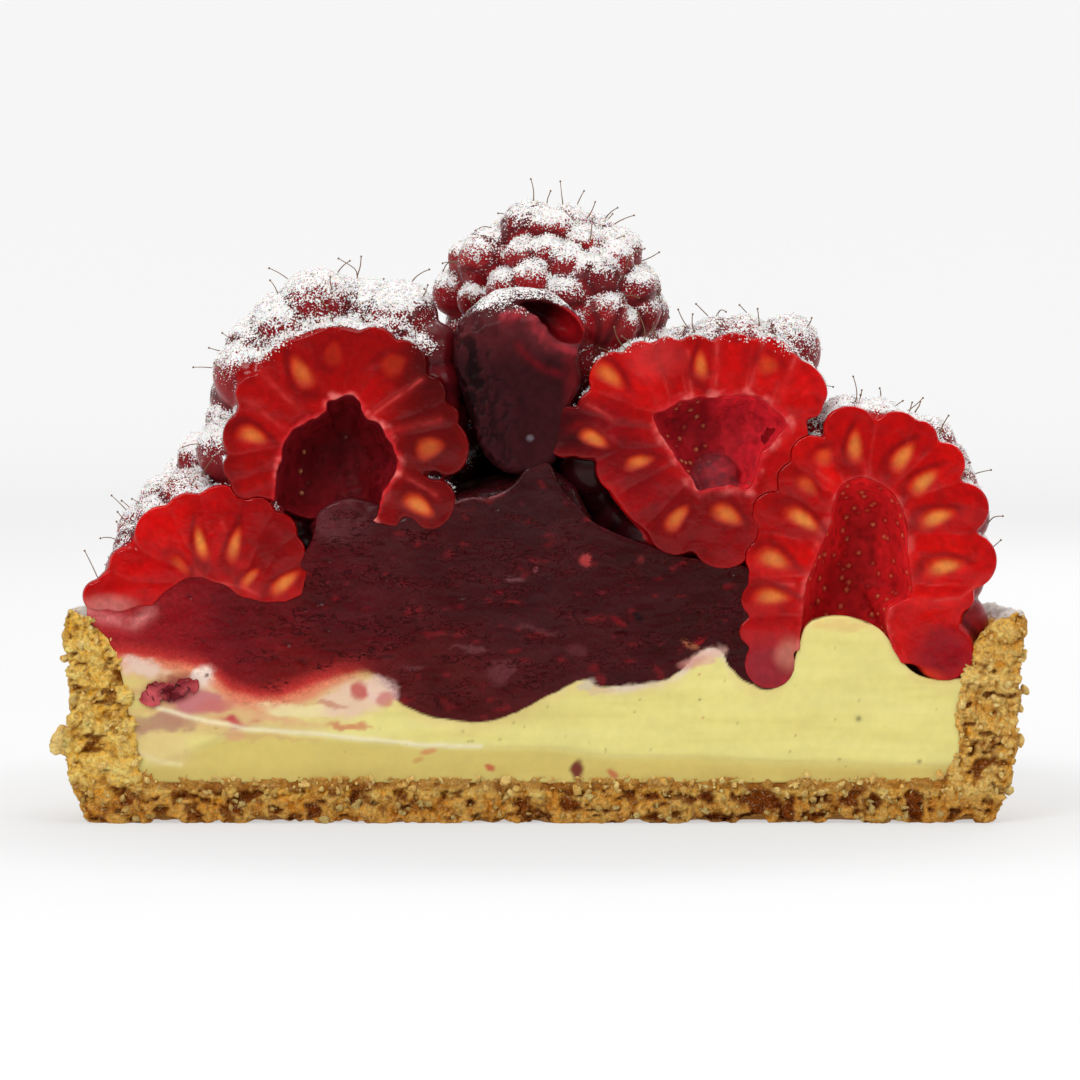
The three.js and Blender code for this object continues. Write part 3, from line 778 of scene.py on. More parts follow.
def rear_layer(node, name, grow, spacing, front_depth):
    """The part of a filling behind its face, from its solid."""
    back = copy_of(frame["nodes"][node], name)
    back.parent = None
    for key in list(back.keys()):
        del back[key]
    back.data.transform(Matrix.Scale(1 / MM, 4))
    make_active(back)
    bpy.ops.object.mode_set(mode="EDIT")
    bpy.ops.mesh.select_all(action="SELECT")
    bpy.ops.mesh.remove_doubles(threshold=0.002)
    bpy.ops.object.mode_set(mode="OBJECT")
    even_skin(back, 0.3, 0)
    keep_within(back, block((-FAR, CUT_Y + front_depth, -1), (FAR, FAR, FAR)))
    even_skin(back, spacing, 2)
    facing = directions(back)
    step = facing * grow
    step[:, 1] = np.where(facing[:, 1] < -0.3, 0, step[:, 1])
    put_places(back, places(back) + step)
    return back


def mark_face(points, facing):
    return ramp(-facing[:, 1], 0.35, 0.75) * (points[:, 1] < CUT_Y + 0.6)


# Edges on the cut face, left to right, as pixels of the photograph
CUSTARD_EDGE = [
    (90, 768), (150, 765), (200, 748), (243, 727), (300, 733), (340, 738), (430, 747), (545, 747),
    (605, 755),
    (700, 757), (800, 762), (1000, 768),
]
CREAM_EDGE = [
    (90, 664), (130, 662), (165, 668), (190, 672), (212, 682), (232, 698), (262, 706), (292, 700),
    (322, 688),
    (345, 680), (368, 676), (385, 686), (398, 702), (420, 714), (450, 721), (480, 723), (510, 716),
    (535, 704),
    (556, 692), (575, 684), (588, 680), (600, 687), (640, 684), (665, 680), (684, 669), (697, 655),
    (710, 649),
    (722, 652), (730, 668), (750, 684), (772, 690), (790, 672), (799, 645), (806, 626), (820, 618),
    (842, 616),
    (864, 621), (882, 631), (893, 645), (903, 662), (920, 676), (945, 680), (970, 676), (1000, 672),
]
COMPOTE_EDGE = [
    (90, 600), (110, 604), (150, 596), (180, 573), (215, 570), (240, 582), (262, 582), (280, 574),
    (300, 556),
    (312, 540), (318, 512), (345, 498), (372, 502), (400, 514), (440, 508), (456, 501), (470, 497),
    (486, 497),
    (500, 493), (514, 484), (525, 470), (538, 462), (551, 465), (560, 486), (576, 504), (592, 521),
    (620, 535),
    (650, 546), (690, 558), (730, 562), (765, 580), (780, 630), (784, 690), (1000, 720),
]


def edge_height(x, pixels):
    spots = rounded(on_cut_all(pixels), 4, closed=False)
    return np.interp(x, spots[:, 0], spots[:, 1])


def cream_edge(x):
    """Height of the compote's lower edge along the cut."""
    return edge_height(x, CREAM_EDGE)


def fillings_top(x):
    return np.maximum(cream_edge(x), edge_height(x, COMPOTE_EDGE))


def custard_colours(points, face):
    x, y, z = points.T
    low, bright, mid = linear((214, 194, 110)), linear((238, 228, 150)), linear((229, 217, 134))
    layer_top = np.interp(x, [-36, -32.7, -25, -17, -10, 0, 5, 13, 20, 36],
                          [4.6, 4.9, 8, 7.1, 6.4, 6.4, 5.7, 5.7, 5.3, 5])
    share = ramp(z, layer_top - 0.7, layer_top + 0.5) * ramp(x, -40, -30)
    share = np.maximum(share, ramp(x, 10, 24) * ramp(z, 4.2, 6.0))
    colours = blend(low, mid, share)
    streaks = layered_noise(points, (9, 3, 0.9), 91, 3)
    colours = blend(colours, bright, np.clip(0.6 * share * (0.3 + streaks), 0, 0.8))
    colours = toward(colours, (206, 188, 108), ramp(-streaks, 0.1, 0.7) * 0.25)
    colours = colours * (1 + 0.07 * layered_noise(points, (4, 3, 2.4), 93, 2))[:, None]
    pale = np.exp(-(to_line(x, z, [(140, 753), (158, 762), (180, 765)]) / 0.25) ** 2)
    colours = toward(colours, (246, 236, 184), 0.6 * pale * face)
    near_base = 1 - ramp(z, FLOOR_TOP + 0.2, FLOOR_TOP + 1.4)
    return toward(colours, (196, 166, 88),
                 0.45 * near_base * (0.6 + 0.5 * soft_noise(points, 2.2, 97)))


def stains(points, colours, face):
    """Berry juice and jam smeared into the cream."""
    x, y, z = points.T
    wave = layered_noise(points, (2.6, 2, 1.1), 101, 3)
    edge = cream_edge(x)
    below = edge - z + 0.4 * wave
    fade = ramp(-x, 13, 19)
    left = 1 - ramp(x, -24, -14)
    peach = left * ramp(z, 6.6, 8.4) * ramp(wave, -0.9, 0.3)
    colours = toward(colours, (216, 168, 120), 0.75 * peach * face)
    colours = toward(colours, (226, 176, 130),
                    (1 - ramp(below, 0.4, 1.5)) * (0.12 + 0.7 * fade) * face)
    colours = toward(colours, (228, 146, 104),
                    (1 - ramp(below, -0.1, 0.7)) * (0.1 + 0.8 * fade) * face)
    crisp = np.exp(-((edge - z - 0.2) / 0.4) ** 2) * ramp(x, 0, 2) * (1 - ramp(x, 14, 16)) * face
    return toward(colours, (238, 218, 204), crisp * ramp(wave, -0.5, 0.6))


def smears_and_sheen(points, colours, face):
    """Streaks and bits of berry across the fillings, and patches of painted sheen on the compote."""
    x, y, z = points.T
    wave, curl = (layered_noise(points, (1.3, 2, 0.8), seed, 4) for seed in (103, 105))
    for px, py, wide, high, turn, strength, tone in SMEARS_AND_SHEEN:
        warp = 0.03 * min(wide, 36)
        mask = blob(x + warp * wave, z + 0.6 * warp * curl, px, py, wide, high, turn, 0.4)
        colours = blend(colours, linear(tone), strength * mask * face)
    swirl = to_line(x, z + 0.1 * wave, [(157, 708), (195, 719), (247, 729), (334, 736), (420, 745),
                                        (480, 747)])
    return toward(colours, (250, 238, 200), 0.75 * np.exp(-(swirl / 0.2) ** 2) * face)


# Smears on the cream, and patches of painted sheen on the compote: pixel, width and height in pixels, turn,
# strength and colour
SMEARS_AND_SHEEN = [
    (160, 744, 70, 42, -8, 0.6, (226, 196, 136)),
    (160, 722, 60, 22, 8, 0.7, (170, 112, 104)),
    (192, 700, 60, 30, -8, 0.85, (196, 108, 122)),
    (168, 690, 58, 26, 14, 0.8, (150, 30, 40)),
    (144, 668, 40, 18, -12, 0.85, (230, 200, 184)),
    (204, 676, 24, 22, -40, 0.95, (240, 216, 200)),
    (207, 676, 4, 4, 0, 0.8, (90, 50, 50)),
    (218, 706, 46, 14, 4, 0.6, (206, 110, 100)),
    (235, 722, 29, 13, -3, 0.95, (196, 66, 74)),
    (236, 736, 22, 14, 0, 0.5, (222, 150, 130)),
    (300, 710, 84, 14, -3, 0.85, (238, 222, 168)),
    (282, 722, 70, 9, -5, 0.6, (226, 170, 130)),
    (345, 728, 40, 6, -4, 0.7, (206, 110, 84)),
    (352, 702, 60, 34, 8, 0.75, (234, 196, 180)),
    (378, 690, 36, 26, -20, 0.7, (236, 196, 188)),
    (359, 692, 16, 18, 0, 0.8, (190, 52, 60)),
    (385, 700, 18, 14, 30, 0.6, (196, 70, 76)),
    (262, 738, 120, 5, -5, 0.4, (206, 160, 110)),
    (419, 760, 12, 5, 20, 0.5, (196, 120, 70)),
    (429, 752, 14, 6, 10, 0.6, (205, 110, 76)),
    (489, 768, 12, 7, -20, 0.8, (190, 60, 44)),
    (579, 770, 12, 19, -12, 0.95, (112, 26, 24)),
    (614, 774, 15, 9, -25, 0.75, (190, 76, 56)),
    (706, 657, 34, 16, 20, 0.7, (226, 176, 160)),
    (690, 664, 26, 12, 10, 0.5, (206, 130, 120)),
    (640, 684, 54, 6, 8, 0.55, (222, 196, 168)),
    (600, 688, 34, 6, 6, 0.5, (214, 182, 160)),
    (586, 686, 22, 8, 30, 0.6, (206, 190, 176)),
    (842, 625, 66, 10, 0, 0.35, (224, 170, 110)),
    (587, 560, 11, 13, 20, 0.85, (176, 60, 62)),
    (689, 645, 15, 7, -20, 0.8, (170, 100, 66)),
    (700, 641, 12, 5, 30, 0.8, (150, 20, 26)),
    (636, 617, 17, 7, -30, 0.9, (24, 4, 6)),
    (620, 622, 18, 6, -24, 0.7, (120, 20, 26)),
    (602, 592, 10, 6, 0, 0.6, (110, 30, 36)),
    (330, 705, 26, 5, -10, 0.6, (190, 110, 76)),
    # The greyish patches on the compote below are painted sheen
    (515, 580, 20, 6, -8, 0.6, (120, 74, 78)),
    (470, 649, 44, 4, -4, 0.6, (112, 60, 64)),
    (540, 631, 40, 6, -8, 0.5, (104, 50, 54)),
    (500, 672, 28, 22, 10, 0.45, (118, 60, 66)),
    (577, 650, 22, 14, -10, 0.45, (100, 42, 48)),
    (640, 560, 8, 8, 0, 0.6, (120, 34, 38)),
    (536, 569, 5, 5, 0, 0.7, (170, 90, 96)),
    (412, 667, 20, 5, 0, 0.5, (110, 56, 60)),
]


def cream_specks(points, colours, face, random):
    """Vanilla seeds and tiny specks of fruit."""
    x, y, z = points.T
    named = [(859, 719, 0.22), (920, 762, 0.16), (840, 760, 0.1), (700, 700, 0.1)]
    spots = [(*on_cut(px, py), size, (70, 62, 30)) for px, py, size in named]
    for _ in range(SPECKS):
        sx = random.uniform(-30, 33)
        sz = random.uniform(4.5, max(5.0, cream_edge(sx) - 0.6))
        red = random.random() < 0.25
        spots.append((sx, sz, random.uniform(0.05, 0.11), (190, 110, 70) if red else (150, 138, 76)))
    for sx, sz, size, tone in spots:
        mask = np.exp(-(np.hypot(x - sx, z - sz) / size) ** 2)
        colours = blend(colours, linear(tone), 0.75 * mask * face)
    return colours


def part_of(obj, name, wanted):
    """A copy that has only the wanted faces."""
    part = copy_of(obj, name)
    make_active(part)
    bpy.ops.object.mode_set(mode="EDIT")
    bpy.ops.mesh.select_mode(type="FACE")
    bpy.ops.mesh.select_all(action="DESELECT")
    bpy.ops.object.mode_set(mode="OBJECT")
    part.data.polygons.foreach_set("select", ~wanted)
    bpy.ops.object.mode_set(mode="EDIT")
    bpy.ops.mesh.delete(type="FACE")
    bpy.ops.mesh.select_mode(type="VERT")
    bpy.ops.object.mode_set(mode="OBJECT")
    return part


def compote_colours(points, face):
    x, y, z = points.T
    tones = [
        ((520, 600), (68, 28, 30)), ((240, 630), (104, 24, 28)), ((165, 640), (160, 28, 34)),
        ((520, 510), (66, 32, 33)),
        ((450, 700), (92, 30, 30)), ((680, 600), (66, 25, 27)), ((300, 685), (134, 32, 30)),
        ((400, 560), (76, 30, 32)),
        ((200, 670), (142, 30, 36)), ((620, 680), (80, 30, 32)), ((110, 612), (184, 40, 44)),
        ((340, 610), (84, 26, 30)),
    ]
    weights, total = [], 0
    for (px, py), tone in tones:
        cx, cz = on_cut(px, py)
        weight = 1 / (((x - cx) ** 2 + (z - cz) ** 2) + 6) ** 1.6
        weights.append((weight, linear(tone)))
        total = total + weight
    colours = sum(weight[:, None] * tone for weight, tone in weights) / total[:, None]
    cloud = layered_noise(points, (3.4, 3, 2.0), 121, 3)
    colours = colours * (1 + 0.38 * cloud)[:, None] * (0.76, 0.84, 0.86)
    flecks = ramp(soft_noise(points, (1.1, 1, 0.6), 127), 0.5, 0.85)
    colours = toward(colours, (130, 32, 36), 0.5 * flecks * face)
    colours = np.maximum(colours - COMPOTE_SHEEN, 0.003)
    # The juice fades into the cream, most of all at the left
    above = z - cream_edge(x) + 0.5 * cloud
    fade = ramp(-x, 13, 19)
    colours = toward(colours, (192, 52, 48), (1 - ramp(above, 0.4, 2.2)) * fade * face)
    colours = toward(colours, (226, 128, 98), (1 - ramp(above, -0.1, 0.9)) * fade * face)
    torn_rim = np.exp(-((edge_height(x, COMPOTE_EDGE) - z) / 0.2) ** 2) * blob(x, z, 484, 496, 60, 30)
    return toward(colours, (150, 96, 100), 0.5 * torn_rim * face)


def share_of_compote(points):
    """0 in the cream and 1 in the compote: crisp at the right, soft and swirled at the left."""
    x, _, z = points.T
    soft = ramp(-x, 11, 17)
    swirl = (0.16 + 0.4 * soft) * layered_noise(points, (1.3, 1, 0.7), 153, 4)
    width = 0.09 + 0.7 * soft
    return ramp(z - cream_edge(x) + swirl, -width, width)


def add_fillings():
    """Custard, cream and compote: one skin at the cut, parted where the layers meet."""
    random = np.random.default_rng(5)
    creamy = filling_finish("custard_set", 0.42, 0.35, (1.0, 0.8, 0.4), 0.3, 0.012, 0.8)
    jelly = filling_finish("compote_jelly", 0.2, 0.08, (1.0, 0.2, 0.15), 0.16, 0.06, 0.3, torn=True)
    front = face_strip("filled_face", lambda x: np.full(len(x), FLOOR_TOP - 0.5), fillings_top, -38, 38, 1.5)
    keep_within(front, inner_room(0.45))
    even_skin(front, FILLING_FACE_GRID, 1)
    backs = {node: rear_layer(node, node + "_back", 0.2, FILLING_BACK_GRID, 1.2)
             for node in ("custard", "cream", "compote")}
    for spec in CUT_BERRIES.values():
        if spec["hollow"]:
            take_away(backs["compote"], hollow_form(spec))
    for part in (front, *backs.values()):
        points, facing = places(part), directions(part)
        x, y, z = points.T
        face = mark_face(points, facing)
        share = np.full(len(x), float(part is backs["compote"]))
        if part is front:
            share = share_of_compote(points)
        wave = layered_noise(points, (3.2, 3, 1.6), 111, 3)
        drag = layered_noise(points, (6, 3, 0.55), 113, 2)
        deep = ramp(np.abs(cream_edge(x) - z), 0.0, 1.2)
        pores = ramp(layered_noise(points, (1.5, 0.9, 0.5), 131, 2), 0.42, 0.7) * share
        # Painted shade, dark red, in the sunken pores
        jam = blend(compote_colours(points, face), linear((48, 4, 8)), 0.5 * pores * face)
        lump = blob(x, z, 343, 520, 62, 44, 12, 0.25) * face
        jam = blend(jam, linear((92, 44, 48)), lump * (0.5 + 0.4 * soft_noise(points, 0.7, 139)))
        smear_line = to_line(x, z, [(83, 608), (102, 618), (134, 624), (150, 612)])
        ragged = layered_noise(points, 1.1, 137, 3)
        smear = np.exp(-((smear_line + 0.3 * ragged) / 0.55) ** 2) * face
        jam = blend(jam, linear((220, 132, 130)), np.clip(smear * (0.55 + 0.6 * ragged), 0, 0.8))
        cream = stains(points, custard_colours(points, face), face)
        colours = blend(cream_specks(points, cream, face, random), jam, share)
        swell = 0.05 * layered_noise(points, (2.6, 2, 1.3), 141, 3)
        swell += 0.03 * layered_noise(points, (0.8, 1, 0.45), 143, 2)
        raised = (1 - share) * (0.05 * wave + 0.03 * drag) + share * (swell - 0.12 * pores)
        points[:, 1] -= face * (deep * raised + 0.45 * lump)
        if part is backs["compote"]:
            points += (1 - face)[:, None] * facing * (0.25 * layered_noise(points, 2.2, 145, 3))[:, None]
        put_places(part, points)
        paint(part, "tint", smears_and_sheen(points, colours, face))
        tag(part, "wet", 0.8 + 0.2 * drag - 0.3 * pores)
        tag(part, "torn", share * ramp(z - cream_edge(x), 0.5, 1.5) * (0.12 + 0.88 * ramp(x, -27, -18)))
    middles = np.empty(len(front.data.polygons) * 3, np.float32)
    front.data.polygons.foreach_get("center", middles)
    x, _, z = middles.reshape(-1, 3).T
    low, high = z < edge_height(x, CUSTARD_EDGE), (z > cream_edge(x)) & (x < on_cut(790, 0)[0])
    for node, finish, wanted in (("custard", creamy, low), ("cream", creamy, ~low & ~high),
                                 ("compote", jelly, high)):
        layer = part_of(front, node + "_front", wanted)
        settle(joined([layer, backs[node]], node + "_layer"), finish, node, node)
    remove(front)


# Raspberries

# As in the solids: centre of the open end (depth from the cut), way of the tip, radius and length
CUT_BERRIES = {
    "raspberry_right": dict(
        base=(25.1, 0.8, 13.8), tip=(0.12, 0.08, 0.98), radius=11.1, length=21.4, seed=21, fullness=1.15,
        walls=0.8,
        flesh=(200, 22, 18), hollow_depth=5.6, hollow_tone=(178, 26, 30), fewer_points=0.15, bare_from=2000,
        rim=0.4,
        petals=[
            (852, 474, 848, 409, 46), (884, 478, 903, 415, 42), (890, 484, 928, 426, 34),
            (893, 492, 960, 455, 40),
            (903, 512, 986, 507, 46), (908, 556, 994, 563, 50), (905, 600, 972, 598, 26),
            (835, 487, 800, 442, 36),
            (830, 502, 782, 472, 32), (826, 528, 756, 506, 36), (815, 556, 748, 558, 34),
            (806, 594, 744, 602, 34),
            (800, 632, 742, 632, 28),
        ],
        pips=[
            (855, 446, 34, 16, 90, 0.8), (903, 457, 35, 18, 55, 0.85), (924, 482, 35, 18, 42, 0.95),
            (937, 518, 37, 18, 20, 1.0), (945, 567, 38, 18, 10, 1.0), (803, 520, 40, 17, -33, 1.0),
            (774, 560, 36, 20, -22, 0.8), (772, 597, 37, 18, -2, 0.8), (824, 457, 20, 18, 60, 0.4),
            (807, 486, 26, 15, -40, 0.4),
        ],
        hollow=[
            (859, 477), (839, 487), (833, 505), (829, 527), (820, 548), (813, 568), (806, 586), (802, 619),
            (800, 650),
            (812, 690), (845, 700), (896, 694), (904, 672), (893, 648), (886, 622), (890, 606), (911, 594),
            (909, 566),
            (907, 534), (903, 510), (891, 492), (878, 482),
        ],
        lobes=[(770, 664, 26, 0.4), (918, 626, 30, 0.7), (945, 652, 32, 1.1), (930, 600, 24, 1.2)],
        marks=[[(761, 584), (794, 585)], [(818, 472), (833, 484)], [(990, 576), (960, 598), (915, 602)]],
        shade_and_tone_patches=[(770, 667, 60, 56, 0.75, (140, 46, 56)), (944, 655, 60, 56, 0.7, (112, 22, 34)),
             (765, 610, 70, 60, 0.3, (120, 26, 30)), (770, 635, 70, 26, 0.5, (176, 34, 36)),
             (786, 500, 60, 110, 0.3, (128, 26, 26)), (925, 679, 34, 20, 0.9, (206, 48, 26)),
             (790, 655, 26, 30, 0.6, (204, 130, 110)), (985, 540, 30, 110, 0.3, (150, 24, 26))],
        after=[],
    ),
    "raspberry_upper_left": dict(
        base=(-19.2, 0.8, 25.8), tip=(0.2, 0.34, 0.92), radius=10.5, length=20.4, seed=22, fullness=1.45,
        walls=0.12, sugar=1.35,
        flesh=(168, 14, 16), hollow_depth=5.4, hollow_tone=(98, 14, 20), fewer_points=0.78, bare_from=2000,
        rim=1.0,
        petals=[
            (290, 432, 226, 440, 44), (298, 414, 240, 388, 34), (318, 406, 276, 348, 50),
            (335, 402, 332, 330, 46),
            (352, 396, 382, 332, 42), (362, 404, 418, 350, 44), (378, 418, 442, 388, 34),
            (392, 432, 456, 414, 28),
            (402, 448, 466, 448, 48), (392, 486, 450, 512, 46), (284, 456, 226, 470, 28),
            (280, 478, 236, 490, 22),
        ],
        pips=[
            (302, 372, 36, 19, 122, 0.6), (253, 436, 32, 17, -20, 0.75), (430, 448, 29, 22, 20, 0.5),
            (419, 506, 35, 18, -32, 0.85), (394, 365, 26, 22, 40, 0.12), (334, 354, 24, 18, 90, 0.08),
        ],
        hollow=[
            (276, 496), (280, 458), (289, 435), (308, 422), (326, 414), (328, 401), (351, 396), (359, 404),
            (366, 417),
            (380, 425), (394, 448), (398, 463), (391, 480), (381, 496), (372, 520), (330, 530), (284, 520),
        ],
        lobes=[(285, 478, 14, 0.8), (430, 350, 30, 2.9), (434, 382, 29, 2.7), (439, 408, 22, 2.1)],
        marks=[[(261, 371), (282, 394), (300, 410)], [(249, 403), (285, 429)], [(436, 495), (396, 471)],
               [(421, 380), (374, 414)], [(440, 420), (383, 433)]],
        dusted=[(258, 356), (285, 334), (312, 321), (352, 315), (398, 321), (430, 346)],
        shade_and_tone_patches=[(436, 400, 84, 220, 0.8, (84, 16, 22)), (440, 360, 60, 90, 0.8, (70, 16, 22)),
             (425, 512, 96, 60, 0.45, (92, 24, 26)), (224, 452, 34, 100, 0.4, (110, 18, 22)),
             (262, 400, 70, 50, 0.3, (190, 26, 26)), (340, 345, 150, 44, 0.25, (132, 18, 22))],
        after=[],
    ),
    "raspberry_upper_right": dict(
        base=(22, 1.4, 31.6), tip=(-0.97, 0.1, -0.12), radius=10.9, length=20.4, seed=23, fullness=1.25,
        walls=0.55,
        flesh=(196, 24, 24), hollow_depth=4.0, hollow_tone=(134, 20, 28), fewer_points=0.1, bare_from=716,
        rim=0.9,
        inside=[(716, 478, 25, 2.5, (104, 44, 50))],
        petals=[
            (650, 400, 596, 366, 44), (662, 398, 634, 346, 34), (678, 398, 664, 340, 30),
            (695, 396, 695, 338, 36),
            (730, 392, 735, 336, 42), (762, 392, 770, 340, 42), (785, 400, 818, 376, 44),
            (650, 420, 582, 402, 28),
            (660, 440, 596, 436, 28), (672, 455, 600, 474, 44), (680, 470, 630, 512, 40),
            (700, 490, 662, 548, 46),
            (725, 490, 722, 566, 52), (750, 490, 766, 558, 42), (790, 404, 820, 400, 30),
            (612, 442, 548, 428, 46),
        ],
        pips=[
            (609, 376, 37, 18, -38, 0.7), (701, 365, 30, 14, 96, 0.7), (768, 366, 22, 20, 0, 0.3),
            (594, 439, 32, 15, -27, 0.85), (639, 462, 30, 14, 15, 0.7), (677, 518, 33, 16, 50, 0.7),
            (727, 515, 34, 19, -28, 0.75),
        ],
        hollow=[
            (666, 408), (682, 401), (709, 398), (745, 395), (765, 402), (780, 412), (788, 424), (781, 434),
            (763, 451),
            (755, 473), (751, 488), (728, 486), (700, 490), (690, 477), (682, 466), (672, 451), (661, 433),
            (655, 417),
        ],
        lobes=[],
        marks=[[(687, 352), (690, 376), (691, 399)], [(760, 327), (762, 346), (748, 392)],
               [(796, 356), (778, 402)],
               [(587, 404), (612, 418)], [(717, 331), (716, 386)], [(596, 428), (612, 440)]],
        dusted=[(586, 356), (600, 350), (622, 343), (640, 332), (700, 328), (762, 332), (790, 346)],
        shade_and_tone_patches=[(600, 436, 70, 60, 0.5, (100, 18, 26)), (590, 402, 50, 50, 0.35, (130, 26, 30)),
             (632, 461, 84, 60, 0.7, (84, 18, 26)), (690, 530, 150, 100, 0.75, (96, 16, 24)),
             (655, 495, 60, 40, 0.4, (118, 22, 28)), (655, 358, 50, 40, 0.35, (196, 72, 72)),
             (600, 424, 70, 40, 0.35, (120, 22, 28)), (566, 430, 60, 56, 0.95, (58, 16, 24)),
             (600, 385, 36, 30, 0.4, (206, 28, 20))],
        after=["raspberry_right"],
    ),
    "raspberry_left": dict(
        base=(-26.6, 12, 19.6), tip=(-0.05, -0.98, 0.12), radius=8.9, length=18.4, seed=24, fullness=1.15,
        walls=0.5,
        flesh=(200, 18, 16), hollow_depth=0, hollow_tone=(150, 20, 28),
        petals=[
            (190, 562, 146, 516, 46), (202, 560, 182, 497, 42), (225, 565, 220, 488, 48),
            (240, 568, 258, 498, 38),
            (252, 574, 286, 518, 36), (262, 585, 298, 542, 28), (258, 582, 308, 588, 36),
            (186, 575, 122, 570, 30), (176, 590, 104, 594, 30),
        ],
        pips=[
            (201, 543, 36, 13, 104, 1.0), (235, 545, 36, 13, 77, 0.8), (180, 565, 26, 11, -45, 0.35),
            (250, 578, 26, 11, 48, 0.6), (285, 583, 36, 15, 40, 0.85),
        ],
        hollow=[],
        lobes=[(98, 596, 17, 0.6), (128, 566, 22, 1.0), (118, 590, 24, 0.8), (285, 583, 10, 0.1)],
        marks=[[(222, 522), (226, 530)], [(210, 583), (240, 586), (262, 597)]],
        foot=[(20, 640), (84, 622), (110, 630), (140, 618), (165, 592), (185, 579), (200, 577), (212, 582),
              (225, 585),
              (240, 597), (254, 600), (264, 603), (286, 602), (302, 595), (310, 560), (420, 540)],
        shade_and_tone_patches=[(262, 525, 90, 90, 0.5, (100, 18, 24)), (284, 560, 60, 70, 0.5, (104, 26, 26)),
             (156, 520, 60, 60, 0.5, (216, 24, 20)), (205, 574, 110, 30, 0.4, (140, 22, 26)),
             (108, 606, 50, 20, 0.5, (212, 140, 132))],
        after=["raspberry_upper_left"],
    ),
}

WHOLE_BERRIES = {
    "raspberry_crown": ((0.6, 13.2, 33.2), (0.08, -0.06, 0.99), 9.0, 17.9),
    "raspberry_back_left": ((-24.4, 14, 17), (-0.12, 0.16, 0.98), 8.8, 16.0),
    "raspberry_back_right": ((24.2, 15, 16.6), (0.22, 0.3, 0.93), 9.1, 17.0),
    "raspberry_rear_left": ((-10.4, 26, 17), (-0.2, 0.42, 0.88), 9.0, 16.6),
    "raspberry_rear_right": ((9.6, 26.4, 16.8), (0.26, 0.4, 0.88), 8.9, 16.4),
    "raspberry_inner_left": ((-11.6, 18.6, 24), (-0.1, 0.1, 0.98), 8.7, 15.6),
    "raspberry_inner_right": ((12.6, 19, 22.6), (0.16, 0.12, 0.97), 8.9, 16.0),
    "raspberry_rear_top": ((0.4, 24.6, 24), (0.06, 0.34, 0.93), 8.6, 15.8),
}


def thimble(share):
    """Mean radius of a raspberry at a share of its length, from the open end to the tip."""
    share = np.asarray(share, float)
    shoulder = 0.28
    lower = 0.86 + 0.14 * np.sin(np.clip(share / shoulder, 0, 1) * math.pi / 2)
    upper = np.sqrt(np.clip(1 - np.clip((share - shoulder) / (1 - shoulder), 0, 1) ** 2.3, 0, 1))
    return np.where(share < shoulder, lower, upper)


def drupelets(base, tip, radius, length, pitch, random, fullness=1.0):
    """Centres, radii and directions of drupelets in staggered rows; fuller ones lie flatter."""
    shares = np.linspace(0, 1, 500)
    profile = np.stack([thimble(shares) * radius, shares * length], axis=1)
    steps = np.linalg.norm(np.diff(profile, axis=0), axis=1)
    arc = np.concatenate([[0], np.cumsum(steps)])
    rows = max(3, round(arc[-1] / (pitch * 0.88)))
    axes = frame_along(tip)
    origin = np.array([base[0], CUT_Y + base[1], base[2]], float)
    centres, sizes, ways = [], [], []
    for row in range(rows + 1):
        at = arc[-1] * (row + 0.35) / (rows + 0.35)
        r, h = np.interp(at, arc, profile[:, 0]), np.interp(at, arc, profile[:, 1])
        ahead = np.array([np.interp(min(at + 0.3, arc[-1]), arc, profile[:, k]) for k in (0, 1)])
        slope = unit(ahead - (r, h)) if at + 0.3 < arc[-1] else np.array([-1.0, 0.0])
        out_r, out_h = slope[1], -slope[0]
        count = max(1, round(2 * math.pi * r / pitch))
        start = random.uniform(0, 1)
        for k in range(count):
            angle = 2 * math.pi * (k + start + random.uniform(-0.2, 0.2)) / count
            radial = math.cos(angle) * axes[0] + math.sin(angle) * axes[1]
            outward = unit(out_r * radial + out_h * axes[2])
            sunk = (0.46 + 0.64 * (fullness - 1)) * pitch + random.uniform(-0.2, 0.3)
            place = origin + r * radial + (h + random.uniform(-0.7, 0.7)) * axes[2] - sunk * outward
            size = pitch * random.uniform(0.54, 0.7) * fullness
            way = frame_along(outward)
            centres.append(place)
            sizes.append((size, size, size * random.uniform(1.04, 1.16)))
            ways.append(way)
    return np.array(centres), np.array(sizes), np.array(ways)


def thimble_core(base, tip, radius, length, inset):
    axes = frame_along(tip)
    origin = np.array([base[0], CUT_Y + base[1], base[2]], float)
    angles = np.linspace(0, 2 * math.pi, 40, endpoint=False)
    rings = []
    for share in np.linspace(0, 0.985, 14):
        r = max(0.3, thimble(share) * radius - inset)
        ring = origin + share * (length - inset) * axes[2]
        rings.append(ring + r * (np.cos(angles)[:, None] * axes[0] + np.sin(angles)[:, None] * axes[1]))
    return lofted(rings)


def hollow_form(spec):
    """The hollow where the berry's core was, open at the cut and narrowing into it."""
    outline = rounded(on_cut_all(spec["hollow"]), 6)
    middle = outline.mean(axis=0)
    spots = np.insert(outline, 1, 0, axis=1)
    uneven = np.stack([layered_noise(spots, 0.9, seed, 2) for seed in (321, 323)], axis=1)
    outline = outline + spec["rim"] * 0.4 * uneven
    rings = []
    for depth, share in ((-2.0, 1.0), (0, 1.0), (0.22, 0.97), (0.5, 0.88), (0.75, 0.7), (0.93, 0.42),
                         (1, 0.12)):
        y = CUT_Y + (depth if depth < 0 else depth * spec["hollow_depth"])
        ring = middle + (outline - middle) * share
        rings.append(np.stack([ring[:, 0], np.full(len(ring), y), ring[:, 1]], axis=1))
    form = mesh_object("hollow_form", *lofted(rings))
    even_skin(form, 0.2, 1)
    return form


